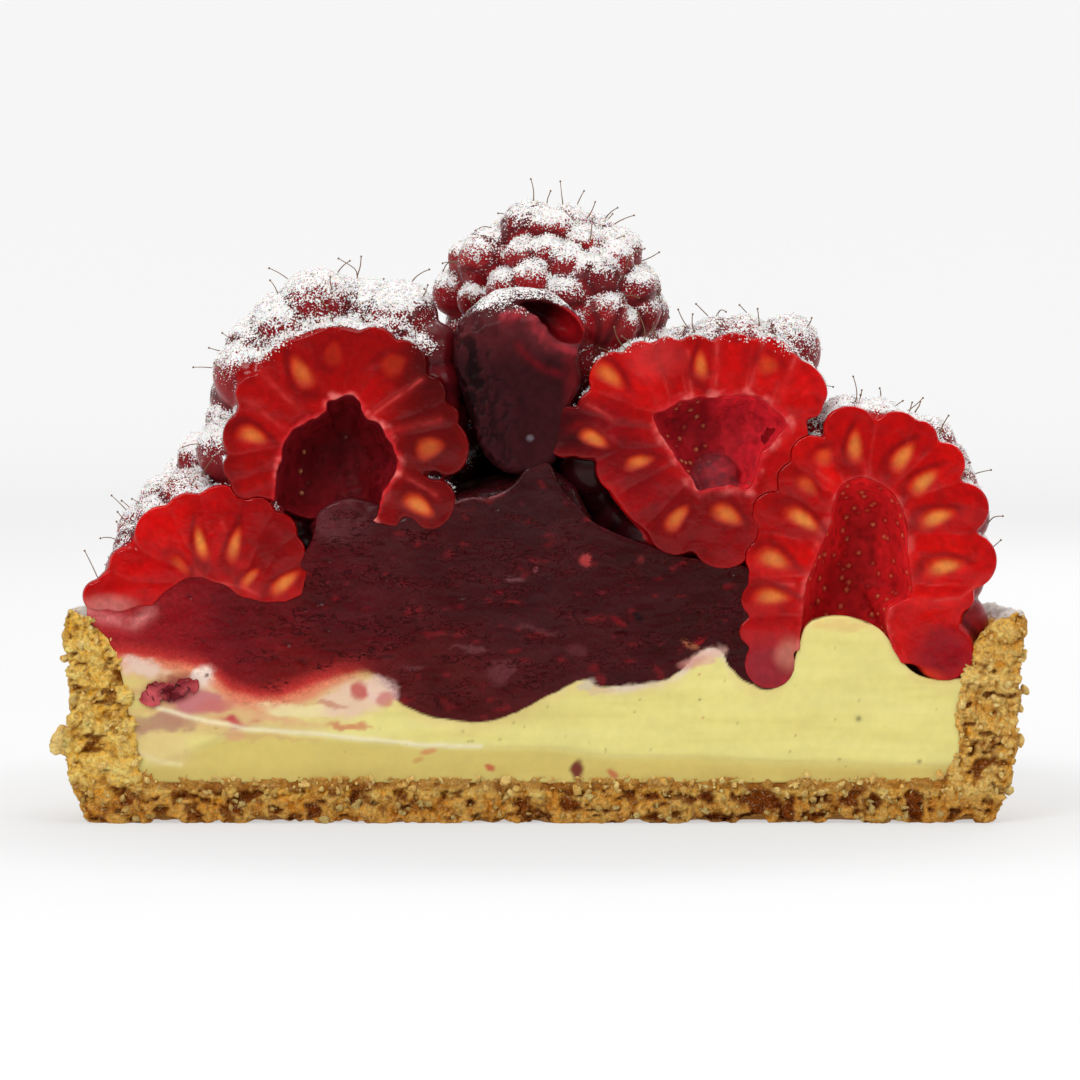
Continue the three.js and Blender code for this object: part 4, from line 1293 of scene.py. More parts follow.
def nearest_drupelets(points, centres):
    """Distances to the nearest and next nearest drupelet centres, and which is nearest."""
    first = np.full(len(points), 1e9)
    second = np.full(len(points), 1e9)
    which = np.zeros(len(points), int)
    for i, centre in enumerate(centres):
        distance = np.linalg.norm(points - centre, axis=1)
        nearer = distance < first
        second = np.where(nearer, first, np.minimum(second, distance))
        which[nearer] = i
        first = np.where(nearer, distance, first)
    return first, second, which


def crevice_shade(points):
    """How much painted shade falls on skins in the black gaps beside the dark berry."""
    x, y, z = points.T
    spots = ((594, 488, 92, 92), (622, 528, 80, 44), (502, 474, 62, 66), (302, 548, 50, 60))
    gaps = np.max([blob(x, z, *spot) for spot in spots], axis=0)
    return gaps * (y > CUT_Y + 0.5) * (y < CUT_Y + 17)


def skin_colours(points, centres, random, settings):
    """Colours of whole drupelets: each its own red, with painted shade in the valleys, on the right side of
    the upper left berry and in the gaps beside the dark berry.
    """
    first, second, which = nearest_drupelets(points, centres)
    tones = random.uniform(0, 1, len(centres))[which]
    bright, deep = linear(settings.skin_bright_255()), linear(settings.skin_deep_255())
    colours = blend(deep, bright, np.clip(0.25 + 0.55 * tones + 0.25 * soft_noise(points, 2.0, 7), 0, 1))
    # Painted shade in the valleys between drupelets
    valley = 1 - ramp(second - first, 0.0, 0.55)
    colours = toward(colours, (50, 6, 12), 0.65 * valley)
    # Painted shade on the right side of the upper left berry
    side_shade = blob(points[:, 0], points[:, 2], 450, 392, 76, 190) * (points[:, 1] < CUT_Y + 8)
    colours = toward(colours, (66, 10, 16), 0.75 * side_shade)
    # Painted shade, near black, on skins in the gaps beside the dark berry
    return toward(colours, (14, 3, 5), 0.93 * crevice_shade(points)), valley


def sugar_cover(points, facing, valley, seed, amount):
    """How thickly icing sugar lies: on what faces up, in patches, thinner in the valleys."""
    patches = 0.5 + 0.5 * layered_noise(points, 4.2, seed, 3)
    up = facing[:, 2]
    cover = (0.2 * ramp(up, -0.5, -0.1) + 0.85 * ramp(up, -0.2,
                                                      0.85)) * (0.5 + 0.75 * patches) * (1 - 0.35 * valley)
    x, y, z = points.T
    spots = ((725, 440, 160, 120), (640, 520, 200, 120), (450, 385, 76, 170), (302, 545, 64, 90))
    sheltered = np.max([blob(x, z, *spot) for spot in spots], axis=0) * (y < CUT_Y + 8)
    return np.clip(amount * cover * (1 - np.maximum(sheltered, crevice_shade(points))), 0, 1)


# The crown's drupelets that show: the pixel of the middle and the radius in pixels
CROWN_DRUPELETS = [
    (530, 231, 22), (507, 236, 16), (490, 264, 26), (469, 260, 17), (456, 292, 18), (474, 300, 15),
    (554, 229, 15),
    (527, 258, 16), (548, 252, 13), (567, 264, 16), (586, 246, 17), (609, 260, 18), (591, 278, 24),
    (632, 290, 20),
    (566, 298, 19), (533, 281, 18), (508, 290, 18), (599, 317, 22), (641, 314, 16), (622, 326, 15),
    (572, 324, 15),
]


def crown_front(base, tip, radius, length, random):
    """The crown's named drupelets, set on the front of its mean form."""
    centres, sizes = [], []
    for px, py, size in CROWN_DRUPELETS:
        x, z = on_cut(px, py)
        r = size / PIXELS_PER_MM
        up = z - base[2]
        across = x - base[0] - up * tip[0]
        round_there = thimble(up / length) * radius
        front = math.sqrt(max(round_there ** 2 - across ** 2, 1.0))
        centres.append((x, CUT_Y + base[1] + up * tip[1] - front + 1.0 * r, z))
        sizes.append(r * random.uniform(1.24, 1.5, 3))
    return np.array(centres), np.array(sizes), np.broadcast_to(np.eye(3), (len(centres), 3, 3))


def add_whole_berry(name, settings):
    base, tip, radius, length = WHOLE_BERRIES[name]
    random = np.random.default_rng(abs(sum(map(ord, name))))
    centres, sizes, ways = drupelets(base, tip, radius, length, settings.drupelet_pitch / MM, random)
    if name == "raspberry_crown":
        far_side = centres[:, 1] > CUT_Y + base[1] - 1.5
        seen = crown_front(base, tip, radius, length, random)
        centres, sizes, ways = (np.concatenate([a[far_side],
                                                b]) for a, b in zip((centres, sizes, ways), seen))
    inset = 0.45 if name == "raspberry_crown" else 1.0
    form = together([balls(centres, sizes, ways), thimble_core(base, tip, radius, length, inset)])
    berry = mesh_object(name + "_fruit", *form)
    even_skin(berry, CROWN_GRID if name == "raspberry_crown" else HEAP_GRID, 1)
    points, facing = places(berry), directions(berry)
    colours, valley = skin_colours(points, centres, random, settings)
    cover = sugar_cover(points, facing, valley, 200 + len(name),
                        settings.sugar_amount * (1.45 if name == "raspberry_back_left" else 1.15))
    dents = 0.2 * soft_noise(points, 1.7, 13) + 0.05 * soft_noise(points, 0.6, 9)
    points += facing * (dents + 0.07 * cover * soft_noise(points, 0.35, 10))[:, None]
    put_places(berry, points)
    paint(berry, "tint", colours)
    tag(berry, "dust", cover)
    tag(berry, "wet", 0.55 - 0.3 * valley)
    return berry


def petal_distances(x, z, petals):
    """Distance to each petal's middle line, in half widths, and the share of the way out."""
    out, shares = [], []
    for ix, iy, ox, oy, wide in petals:
        start, end = np.array(on_cut(ix, iy)), np.array(on_cut(ox, oy))
        half = wide / 2 / PIXELS_PER_MM
        length = np.linalg.norm(end - start)
        inset = (end - start) / length * min(half * 0.8, length * 0.4)
        distance, along = to_segment(x, z, start + inset * 0.4, end - inset)
        out.append(distance / half)
        shares.append(along)
    return np.array(out), np.array(shares)


def petal_balls(petals):
    """An ellipsoid for each drupelet that the cut goes through."""
    centres, sizes, ways = [], [], []
    for ix, iy, ox, oy, wide in petals:
        (ax, az), (bx, bz) = on_cut(ix, iy), on_cut(ox, oy)
        reach = np.array([bx - ax, 0, bz - az])
        length = np.linalg.norm(reach)
        reach /= length
        half = wide / 2 / PIXELS_PER_MM
        # Two balls along the petal, the outer one fuller
        for share, size in ((0.72, 1.16), (0.42, 1.0)):
            centre = np.array([ax, CUT_Y + 0.5, az]) + reach * length * share
            centres.append(centre)
            sizes.append((length * (0.29 if share > 0.6 else 0.4) + 0.25, half * size, 2.3))
            ways.append(np.array([reach, np.cross((0, 1, 0), reach), (0, 1, 0)]))
    return balls(centres, sizes, np.array(ways))


def pip_mask(x, z, pip):
    """How near a place is to a pip's middle, 0 at the middle and 1 at its edge, and its lit side."""
    px, py, long, wide, turn, _ = pip
    cx, cz = on_cut(px, py)
    a = math.radians(turn)
    u = ((x - cx) * math.cos(a) + (z - cz) * math.sin(a)) / (long / 2 / PIXELS_PER_MM)
    v = (-(x - cx) * math.sin(a) + (z - cz) * math.cos(a)) / (wide / 2 / PIXELS_PER_MM)
    v = v * (1 + 0.28 * u) + 0.16 * u * u - 0.06
    return np.hypot(u, v), v


def outline_distance(x, z, outline):
    return np.min([to_segment(x, z, a, b)[0] for a, b in zip(outline, np.roll(outline, -1, axis=0))], axis=0)


def section_colours(points, spec, random):
    """The cut face of a berry: flesh, paler walls between drupelets, pips with painted shade beside them,
    and patches of painted shade and of the flesh's other tones.
    """
    x, _, z = points.T
    wobble = 0.1 * soft_noise(points, 0.9, 301) + 0.05 * soft_noise(points, 0.4, 302)
    distances, shares = petal_distances(x + wobble, z + wobble, spec["petals"])
    order = np.sort(distances, axis=0)
    which = np.argmin(distances, axis=0)
    nearest, gap = order[0], order[1] - order[0]
    inward = 1 - np.take_along_axis(shares, which[None], axis=0)[0]
    tones = random.uniform(0.74, 1.16, len(spec["petals"]))[which]
    flesh = linear(spec["flesh"])
    cloud = layered_noise(points, 1.5, 303, 3)
    colours = np.maximum(flesh[None] * (tones * (1 + 0.24 * cloud))[:, None] - FLESH_SHEEN, 0.001)
    colours = blend(colours, flesh * (0.5, 0.3, 0.42),
                    0.5 * ramp(cloud, 0.1, 0.7) + 0.25 * ramp(nearest, 0.3, 0.6))
    wall = np.exp(-(gap / 0.12) ** 2) * (1 - ramp(nearest, 1.5, 2.0))
    uneven = np.clip(0.5 + 0.8 * soft_noise(points, 1.1, 304), 0, 1)
    colours = toward(colours, (214, 58, 54), spec["walls"] * wall * uneven * (0.2 + 0.8 * inward))
    # Patches read off the face: painted shade where the flesh lies in shadow, and some of the flesh's own
    # darker, paler and brighter tones
    for px, py, wide, high, strength, tone in spec["shade_and_tone_patches"]:
        shade = np.maximum(linear(tone) - FLESH_SHEEN, 0.001)
        colours = blend(colours, shade, strength * blob(x + wobble, z - wobble, px, py, wide, high, 0, 0.6))
    for mark in spec["marks"]:
        line = to_line(x + 0.6 * wobble, z + 0.6 * wobble, mark)
        colours = toward(colours, (222, 80, 74),
                        0.5 * np.exp(-(line / 0.12) ** 2) * ramp(uneven, 0.2, 0.8))
        colours = toward(colours, (206, 52, 50), 0.2 * np.exp(-(line / 0.4) ** 2))
    relief = 0.03 * (1 - ramp(nearest, 0.1, 1.0)) - 0.03 * wall * uneven
    relief += 0.05 * layered_noise(points, 1.8, 305, 2)
    if spec["hollow"]:
        # The torn, paler edge of the flesh round the hollow
        ragged = 0.5 + 0.5 * layered_noise(points, 0.9, 306, 3)
        edge = outline_distance(x, z, rounded(on_cut_all(spec["hollow"]), 2))
        rim = (1 - ramp(edge, 0.05, 0.15 + 1.1 * ragged)) * spec["rim"]
        colours = blend(colours, blend(linear((200, 34, 40)), linear((240, 122, 116)),
                                       ramp(ragged, 0.45, 0.8)), 0.85 * rim)
        relief = relief + 0.1 * rim * ragged
    for pip in spec["pips"]:
        near, side = pip_mask(x, z, pip)
        strength = pip[5]
        # A crescent of painted shade beside each pip
        pip_shade = np.exp(-((near - 1.4) / 0.45) ** 2) * ramp(side, -0.6, 0.6)
        colours = blend(colours, flesh * (0.34, 0.25, 0.35), 0.7 * pip_shade * min(1, 0.3 + strength))
        body = 1 - ramp(near, 0.62, 1.25)
        rim = linear((196, 54, 26))
        core = linear((222, 132, 60))
        pip_colour = blend(rim, core, strength * (1 - ramp(near, 0.15, 0.95)))
        colours = blend(colours, pip_colour, body * min(1, 0.2 + 0.9 * strength))
        relief = relief + 0.07 * strength * (1 - ramp(near, 0.6, 1.0))
    return colours, relief


def hollow_colours(points, spec):
    """The hollow's lining: dark red, with painted shade deeper in and in the dimples, and little pale points
    where the core held on.
    """
    x, depth = points[:, 0], points[:, 1] - CUT_Y
    near, _, tone = grains(points, 0.95, 311)
    lining = linear(spec["hollow_tone"])
    # Painted shade: the lining grows darker deeper into the hollow
    shade = 1.9 - 0.16 * np.clip(depth, 0, 6) + 0.3 * layered_noise(points, 1.4, 313, 2)
    ribs = layered_noise(points, (0.6, 2, 2.6), 317, 2)
    colours = lining[None] * (shade * (1 + 0.3 * ribs))[:, None]
    dimple = np.exp(-((near - 0.3) / 0.12) ** 2)
    # Painted shade in the dimples
    colours = colours * (1 - 0.3 * dimple)[:, None]
    bare_from, gain = on_cut(spec["bare_from"], 0)[0], 0.9
    colours = colours * (1 + gain * ramp(x, bare_from - 1, bare_from + 1))[:, None]
    point = (1 - ramp(near, 0.1, 0.24)) * (tone > spec["fewer_points"]) * (x < bare_from)
    return toward(colours, (206, 136, 92), 0.7 * point), 0.12 * point - 0.05 * dimple


def add_cut_berry(name, settings, kept):
    spec = CUT_BERRIES[name]
    random = np.random.default_rng(spec["seed"])
    pitch = settings.drupelet_pitch / MM
    args = (spec["base"], spec["tip"], spec["radius"], spec["length"])
    centres, sizes, ways = drupelets(*args, pitch, random, spec["fullness"])
    behind = centres[:, 1] > CUT_Y + 0.97 * sizes[:, 0]
    parts = [balls(centres[behind], sizes[behind], ways[behind]), thimble_core(*args, 2.0),
             petal_balls(spec["petals"])]
    spots = [(*on_cut(px, py), size / PIXELS_PER_MM, depth) for px, py, size, depth in spec["lobes"]]
    if spots:
        parts.append(balls([(x, CUT_Y + depth, z) for x, z, _, depth in spots],
                           [(size,) * 3 for _, _, size, _ in spots]))
    berry = mesh_object(name + "_fruit", *together(parts))
    even_skin(berry, 0.22, 1)
    kept[name] = copy_of(berry, name + "_form")
    for other in spec["after"]:
        take_away(berry, kept[other], keep=True)
    if spec["hollow"]:
        take_away(berry, hollow_form(spec))
    for px, py, size, deep, _ in spec.get("inside", ()):
        x, z = on_cut(px, py)
        bump = mesh_object("bump", *balls([(x, CUT_Y + deep, z)], [(size / PIXELS_PER_MM,) * 3]))
        berry = joined([berry, bump], berry.name)
    if spec.get("foot"):
        edge = on_cut_all(spec["foot"])
        below = face_strip("below", lambda x: np.full(len(x), -5.0),
                           lambda x: np.interp(x, edge[:, 0], edge[:, 1]),
                           edge[0, 0], edge[-1, 0], 3.0, 5.0)
        take_away(berry, below)
    take_away(berry, block((-70, CUT_Y - 60, -20), (70, CUT_Y - FACE_STEP, 90)))
    even_skin(berry, settings.cut_spacing / MM, 1)
    points, facing = places(berry), directions(berry)
    x, y, z = points.T
    depth = y - CUT_Y + FACE_STEP
    face = ramp(-facing[:, 1], 0.3, 0.75) * (depth < 0.45)
    around = np.array([*centres[behind], *[(px, CUT_Y + dy, pz) for px, pz, _, dy in spots]])
    skin, valley = skin_colours(points, around, random, settings)
    cut, relief = section_colours(points, spec, random)
    colours = blend(skin, cut, np.maximum(face, ramp(0.6 - depth, 0, 0.3)))
    lining = np.zeros(len(points))
    if spec["hollow"]:
        outline = rounded(on_cut_all(spec["hollow"]), 3)
        middle = outline.mean(axis=0)
        grown = middle + (outline - middle) * 1.07
        lining = inside_outline(x, z, grown) & (depth > 0.25) & (depth < spec["hollow_depth"] + 1.2)
        hollow, bumps = hollow_colours(points, spec)
        colours = blend(colours, hollow, lining * ramp(depth, 0.2, 0.6))
        for px, py, size, deep, tone in spec.get("inside", ()):
            near = blob(x, z, px, py, 2 * size, 2 * size, 0, 0.1) * (depth > 0.15)
            colours = blend(colours, linear(tone), near * (0.75 + 0.25 * soft_noise(points, 0.5, 315)))
        points += facing * (lining * bumps)[:, None]
        lining = lining.astype(float)
    cover = sugar_cover(points, facing, valley, 260 + spec["seed"],
                        settings.sugar_amount * spec.get("sugar", 1.0))
    cover = cover * (1 - face) * (1 - lining) * ramp(depth, 0.1, 0.9) * ramp(z, 18, 24)
    if spec.get("dusted"):
        cover = np.maximum(cover, 0.55 * spec.get("sugar",
                                                  1.0) * np.exp(-(to_line(x, z, spec["dusted"]) / 0.75) ** 2)
                           * (depth < 1.5))
    points[:, 1] -= face * relief
    points += (1 - face)[:, None] * facing * (0.06 * cover * soft_noise(points, 0.35, 11))[:, None]
    put_places(berry, points)
    paint(berry, "tint", colours)
    tag(berry, "dust", cover)
    tag(berry, "wet", (0.55 + 0.45 * face) * (1 - 0.85 * lining))
    return berry


# The dark, jam-soaked berry in the middle

DARK_OUTLINE = [
    (453, 342), (457, 326), (468, 310), (487, 295), (503, 289), (522, 287), (543, 290), (557, 296),
    (572, 309),
    (582, 322), (585, 335), (582, 345), (576, 352), (579, 366), (581, 384), (574, 400), (566, 416),
    (563, 440),
    (556, 460), (540, 472), (516, 475), (497, 468), (483, 454), (475, 434), (468, 412), (461, 390),
    (454, 366),
]
DARK_SLOT = [
    (516, 303), (540, 301), (562, 307), (577, 318), (585, 334), (580, 343), (566, 344), (554, 338),
    (543, 328),
    (534, 317), (524, 310),
]


def add_dark_berry():
    outline = rounded(on_cut_all(DARK_OUTLINE), 4)
    middle = np.array(on_cut(518, 372))
    offsets = outline - middle
    angles = np.arctan2(offsets[:, 1], offsets[:, 0])
    order = np.argsort(angles)
    verts, faces = ball_shape(6)
    around = np.arctan2(verts[:, 2], verts[:, 0])
    reach = np.interp(around, angles[order], np.linalg.norm(offsets, axis=1)[order], period=2 * math.pi)
    across = np.hypot(verts[:, 0], verts[:, 2])
    fullness = reach * across ** 0.8
    front = np.abs(verts[:, 1]) ** 0.5
    points = np.stack([
        middle[0] + np.cos(around) * fullness,
        CUT_Y + 2.1 + np.where(verts[:, 1] < 0, -3.4 * front, 6.6 * verts[:, 1]),
        middle[1] + np.sin(around) * fullness,
    ], axis=1)
    points[:, 1] += 1.7 * ramp(points[:, 2], on_cut(0, 356)[1], on_cut(0, 290)[1]) * (verts[:, 1] < 0.3)
    berry = mesh_object("dark_berry_fruit", points, faces)
    even_skin(berry, 0.16, 1)
    take_away(berry, block((-70, CUT_Y - 60, -20), (70, CUT_Y - FACE_STEP - 0.08, 90)))
    even_skin(berry, 0.16, 3)
    slot = rounded(on_cut_all(DARK_SLOT), 3)
    slot_middle = slot.mean(axis=0)
    rings = []
    for y, share in ((-4, 1.05), (0.2, 1.0), (1.4, 0.95), (2.6, 0.75), (3.4, 0.35)):
        ring = slot_middle + (slot - slot_middle) * share
        rings.append(np.stack([ring[:, 0], np.full(len(ring), CUT_Y + y), ring[:, 1]], axis=1))
    cutter = mesh_object("slot_form", *lofted(rings))
    even_skin(cutter, 0.2, 2)
    take_away(berry, cutter)
    even_skin(berry, 0.15, 2)
    points, facing = places(berry), directions(berry)
    x, y, z = points.T
    depth = y - CUT_Y
    lower = ramp(on_cut(0, 345)[1] - z, -1.0, 2.0)
    colours = blend(linear((82, 26, 30)), linear((54, 17, 20)), lower)
    cloud = layered_noise(points, (1.6, 2, 3.0), 401, 3)
    colours = colours * (1 + 0.35 * cloud)[:, None]
    left_rim = 1 - ramp(x, on_cut(462, 0)[0], on_cut(474, 0)[0])
    colours = toward(colours, (40, 14, 18), 0.6 * left_rim * lower)
    streak = np.exp(-(to_line(x, z, [(518, 346), (531, 360), (546, 370), (560, 374)]) / 0.35) ** 2)
    ragged = soft_noise(points, 0.55, 415)
    lip = np.exp(-((to_line(x, z, [(505, 318), (520, 313), (535, 324), (544, 338), (557, 348), (572, 354)])
                    + 0.35 * ragged) / 0.5) ** 2) * (0.7 + 0.5 * soft_noise(points, 0.8, 417))
    colours = toward(colours, (172, 48, 58), 0.8 * lip * (depth < 2.5))
    colours = toward(colours, (112, 12, 22), 0.6 * streak)
    right_side = ramp(x, on_cut(558, 0)[0], on_cut(572, 0)[0]) * ramp(on_cut(0, 350)[1] - z, 0, 1)
    colours = toward(colours, (104, 18, 24), 0.7 * right_side)
    # The slot's inside: painted shade, near black, with a patch of painted glow towards its right end
    in_slot = inside_outline(x, z, slot_middle + (slot - slot_middle) * 1.08) & (depth > 0.2) & (depth < 5)
    glow = blob(x, z, 572, 322, 36, 36, -40, 0.6)
    colours = blend(colours, blend(linear((58, 6, 10)), linear((160, 18, 26)), glow), in_slot * 1.0)
    # Dark wrinkle lines, partly the skin's own, and painted shade where they are grooved at the lower left
    wrinkle = ramp(np.abs(layered_noise(points, (1.0, 1, 1.5), 411, 3)), 0.0, 0.16)
    left_low = ramp(on_cut(520, 0)[0] - x, -1, 2) * ramp(on_cut(0, 362)[1] - z, 0, 1.5)
    colours = toward(colours, (24, 8, 10), 0.75 * (1 - wrinkle) * (0.25 + 0.75 * left_low))
    # A painted wet highlight
    colours = toward(colours, (120, 108, 116), 0.7 * blob(x, z, 530, 438, 7, 6) * (depth < 1))
    # Painted shade, near black, in the torn pits at the left
    torn = ramp(layered_noise(points, (0.7, 1, 1.0), 413, 4), 0.0,
                0.3) * blob(x, z, 476, 384, 44, 120, 8, 0.6)
    colours = toward(colours, (20, 5, 7), 0.9 * torn)
    relief = 0.05 * cloud + 0.08 * ragged * (1 - lower) + 0.06 * layered_noise(points, 0.9, 419, 3)
    relief += 0.4 * lip * (depth < 2.5) - 0.2 * torn - 0.14 * (1 - wrinkle) * left_low
    points += facing * relief[:, None]
    cover = ramp(facing[:, 2], 0.2, 0.75) * ramp(z, on_cut(0, 322)[1], on_cut(0, 300)[1]) * (1 - in_slot)
    put_places(berry, points)
    paint(berry, "tint", colours)
    tag(berry, "dust", np.clip(cover * (0.75 + 0.3 * layered_noise(points, 2.0, 421, 2)), 0, 1))
    tag(berry, "wet", 0.4 - 0.2 * lower)
    return berry


def add_berry_scrap():
    """A crushed bit of berry in the cream by the left wall."""
    x, z = -31.3, 11.0
    centres = [(x + dx, CUT_Y + 0.5, z + dz) for dx, dz in ((-1.4, -0.5), (-0.5, 0.2), (0.5, 0.0),
                                                            (1.5, 0.6), (-0.1, -0.1))]
    scrap = mesh_object("scrap_fruit", *balls(centres, [(0.9, 1.4, 0.7)] * 4 + [(1.6, 2.6, 0.55)]))
    even_skin(scrap, 0.16, 2)
    points, facing = places(scrap), directions(scrap)
    points += facing * (0.35 * layered_noise(points, 0.8, 431,
                                             4) + 0.7 * grains(points, 0.75, 435)[2] - 0.35)[:, None]
    points[:, 1] = np.maximum(points[:, 1], CUT_Y - 0.25)
    put_places(scrap, points)
    cloud = 0.5 + 0.5 * layered_noise(points, 1.1, 433, 2)
    paint(scrap, "tint", blend(linear((122, 20, 30)), linear((206, 86, 92)), ramp(cloud, 0.35, 0.9)))
    tag(scrap, "dust", np.zeros(len(points)))
    tag(scrap, "wet", np.full(len(points), 0.8))
    return scrap


# Hairs, sugar grains and crumbs

def tube(path, radius, sides=4):
    """Corners and faces of a thin closed tube along a path."""
    path = np.asarray(path, float)
    tangent = np.gradient(path, axis=0)
    tangent /= np.linalg.norm(tangent, axis=1)[:, None]
    side = np.cross(tangent, (0.31, 0.83, 0.46))
    side /= np.linalg.norm(side, axis=1)[:, None]
    across = np.cross(tangent, side)
    angles = np.linspace(0, 2 * math.pi, sides, endpoint=False)
    radii = radius * np.linspace(1.15, 0.75, len(path))
    rings = [p + r * (np.cos(angles)[:, None] * s + np.sin(angles)[:, None] * c)
             for p, r, s, c in zip(path, radii, side, across)]
    return lofted(rings)


# Hairs that stand against the background, as pixels of the photograph from the skin outwards
SEEN_HAIRS = [
    [(550, 216), (547, 200), (551, 187)], [(556, 214), (562, 206), (574, 202)],
    [(591, 238), (592, 228), (593, 218)],
    [(490, 226), (482, 225), (474, 229)], [(627, 268), (632, 255), (646, 248)],
    [(640, 268), (632, 262), (629, 266)],
    [(650, 290), (652, 285), (657, 282)], [(455, 276), (447, 274), (440, 277)],
    [(512, 218), (504, 212), (497, 211)],
    [(355, 276), (352, 268), (336, 258)], [(355, 276), (358, 266), (359, 256)],
    [(332, 290), (330, 283), (330, 277)],
    [(322, 293), (308, 291), (295, 292)], [(302, 314), (284, 311), (268, 312)],
    [(268, 318), (260, 313), (253, 318)],
    [(225, 378), (219, 369), (214, 363)], [(223, 374), (227, 366), (233, 365)],
    [(422, 297), (426, 291), (424, 289)],
    [(759, 327), (751, 315), (742, 305)], [(760, 326), (759, 318), (758, 309)],
    [(711, 318), (703, 310), (697, 304)],
    [(718, 315), (722, 310), (727, 312)], [(673, 318), (670, 311), (669, 305)],
    [(807, 353), (806, 338), (806, 325)],
    [(861, 403), (864, 397), (865, 391)], [(884, 398), (884, 393), (883, 389)],
    [(919, 409), (921, 406), (922, 402)],
    [(941, 434), (945, 424), (950, 416)], [(971, 468), (973, 465), (974, 464)],
    [(990, 524), (996, 518), (1005, 517)],
    [(126, 525), (120, 519), (115, 513)], [(134, 548), (130, 543), (126, 538)],
    [(105, 578), (105, 568), (105, 559)],
    [(97, 578), (91, 565), (84, 551)], [(455, 262), (446, 262), (441, 270)],
    [(659, 295), (664, 290), (660, 284)],
]
HAIRS_PER_BERRY = 26


def add_hairs(fruit, settings):
    random = np.random.default_rng(71)
    parts, knobs = [], []
    skins = np.concatenate([places(berry) / MM for berry in fruit])
    for pixels in SEEN_HAIRS:
        nodes = on_cut_all(pixels)
        root = skins[np.argmin(np.hypot(skins[:, 0] - nodes[0, 0], skins[:, 2] - nodes[0, 1]))]
        path = rounded([root, *[(x, root[1], z) for x, z in nodes]], 3, closed=False)
        parts.append(tube(path, 0.055))
        knobs.append(path[-1])
    for berry in fruit:
        points, facing = places(berry) / MM, directions(berry)
        dust = np.empty(len(points), np.float32)
        berry.data.attributes["dust"].data.foreach_get("value", dust)
        able = np.flatnonzero((dust > 0.2) & (facing[:, 1] > -0.6))
        for i in random.choice(able, min(HAIRS_PER_BERRY, len(able)), replace=False):
            start, way = points[i], facing[i]
            length = settings.hair_length / MM * random.uniform(0.5, 1.2)
            bend = unit(np.cross(way, random.normal(size=3)))
            steps = np.linspace(-0.15, 1, 7)[:, None]
            path = start + length * (steps * way + random.uniform(0.2, 0.75) * np.abs(steps) ** 2 * bend)
            parts.append(tube(path, 0.05))
            knobs.append(path[-1])
    parts.append(balls(knobs, [(0.1, 0.1, 0.1)] * len(knobs), level=1))
    hairs = mesh_object("berry_hairs", *together(parts))
    settle(hairs, plain_finish("hair_brown", (122, 88, 58), 0.5), "raspberry")


def add_sugar(fruit, settings):
    """Grains that stand proud of the dusted skins."""
    random = np.random.default_rng(81)
    spots = []
    for berry in fruit:
        points, facing = places(berry) / MM, directions(berry)
        dust = np.empty(len(points), np.float32)
        berry.data.attributes["dust"].data.foreach_get("value", dust)
        chance = np.clip(dust - 0.15, 0, 1) ** 1.2
        if chance.sum() < 1:
            continue
        share = 2.2 if berry.name.startswith(("raspberry_crown", "raspberry_upper")) else 1.0
        count = int(share * settings.grains_per_berry)
        chosen = random.choice(len(points), count, p=chance / chance.sum())
        spots.append(points[chosen] + facing[chosen] * random.uniform(-0.02, 0.1, count)[:, None])
    centres = np.concatenate(spots) + random.normal(0, 0.05, (sum(map(len, spots)), 3))
    corners = np.array([(1, 0, 0), (-0.5, 0.87, 0), (-0.5, -0.87, 0), (0, 0, 1.1)])
    sides = np.array([(0, 2, 1), (0, 1, 3), (1, 2, 3), (2, 0, 3)])
    size = random.uniform(0.06, 0.14, (len(centres), 1, 1)) * random.uniform(0.7, 1.3, (len(centres), 4, 1))
    verts = (centres[:, None, :] + corners[None] * size).reshape(-1, 3)
    faces = (sides[None] + (np.arange(len(centres)) * 4)[:, None, None]).reshape(-1, 3)
    sugar = mesh_object("icing_sugar", verts, faces)
    settle(sugar, plain_finish("sugar_white", (248, 246, 244), 0.7, 0.2), "raspberry")


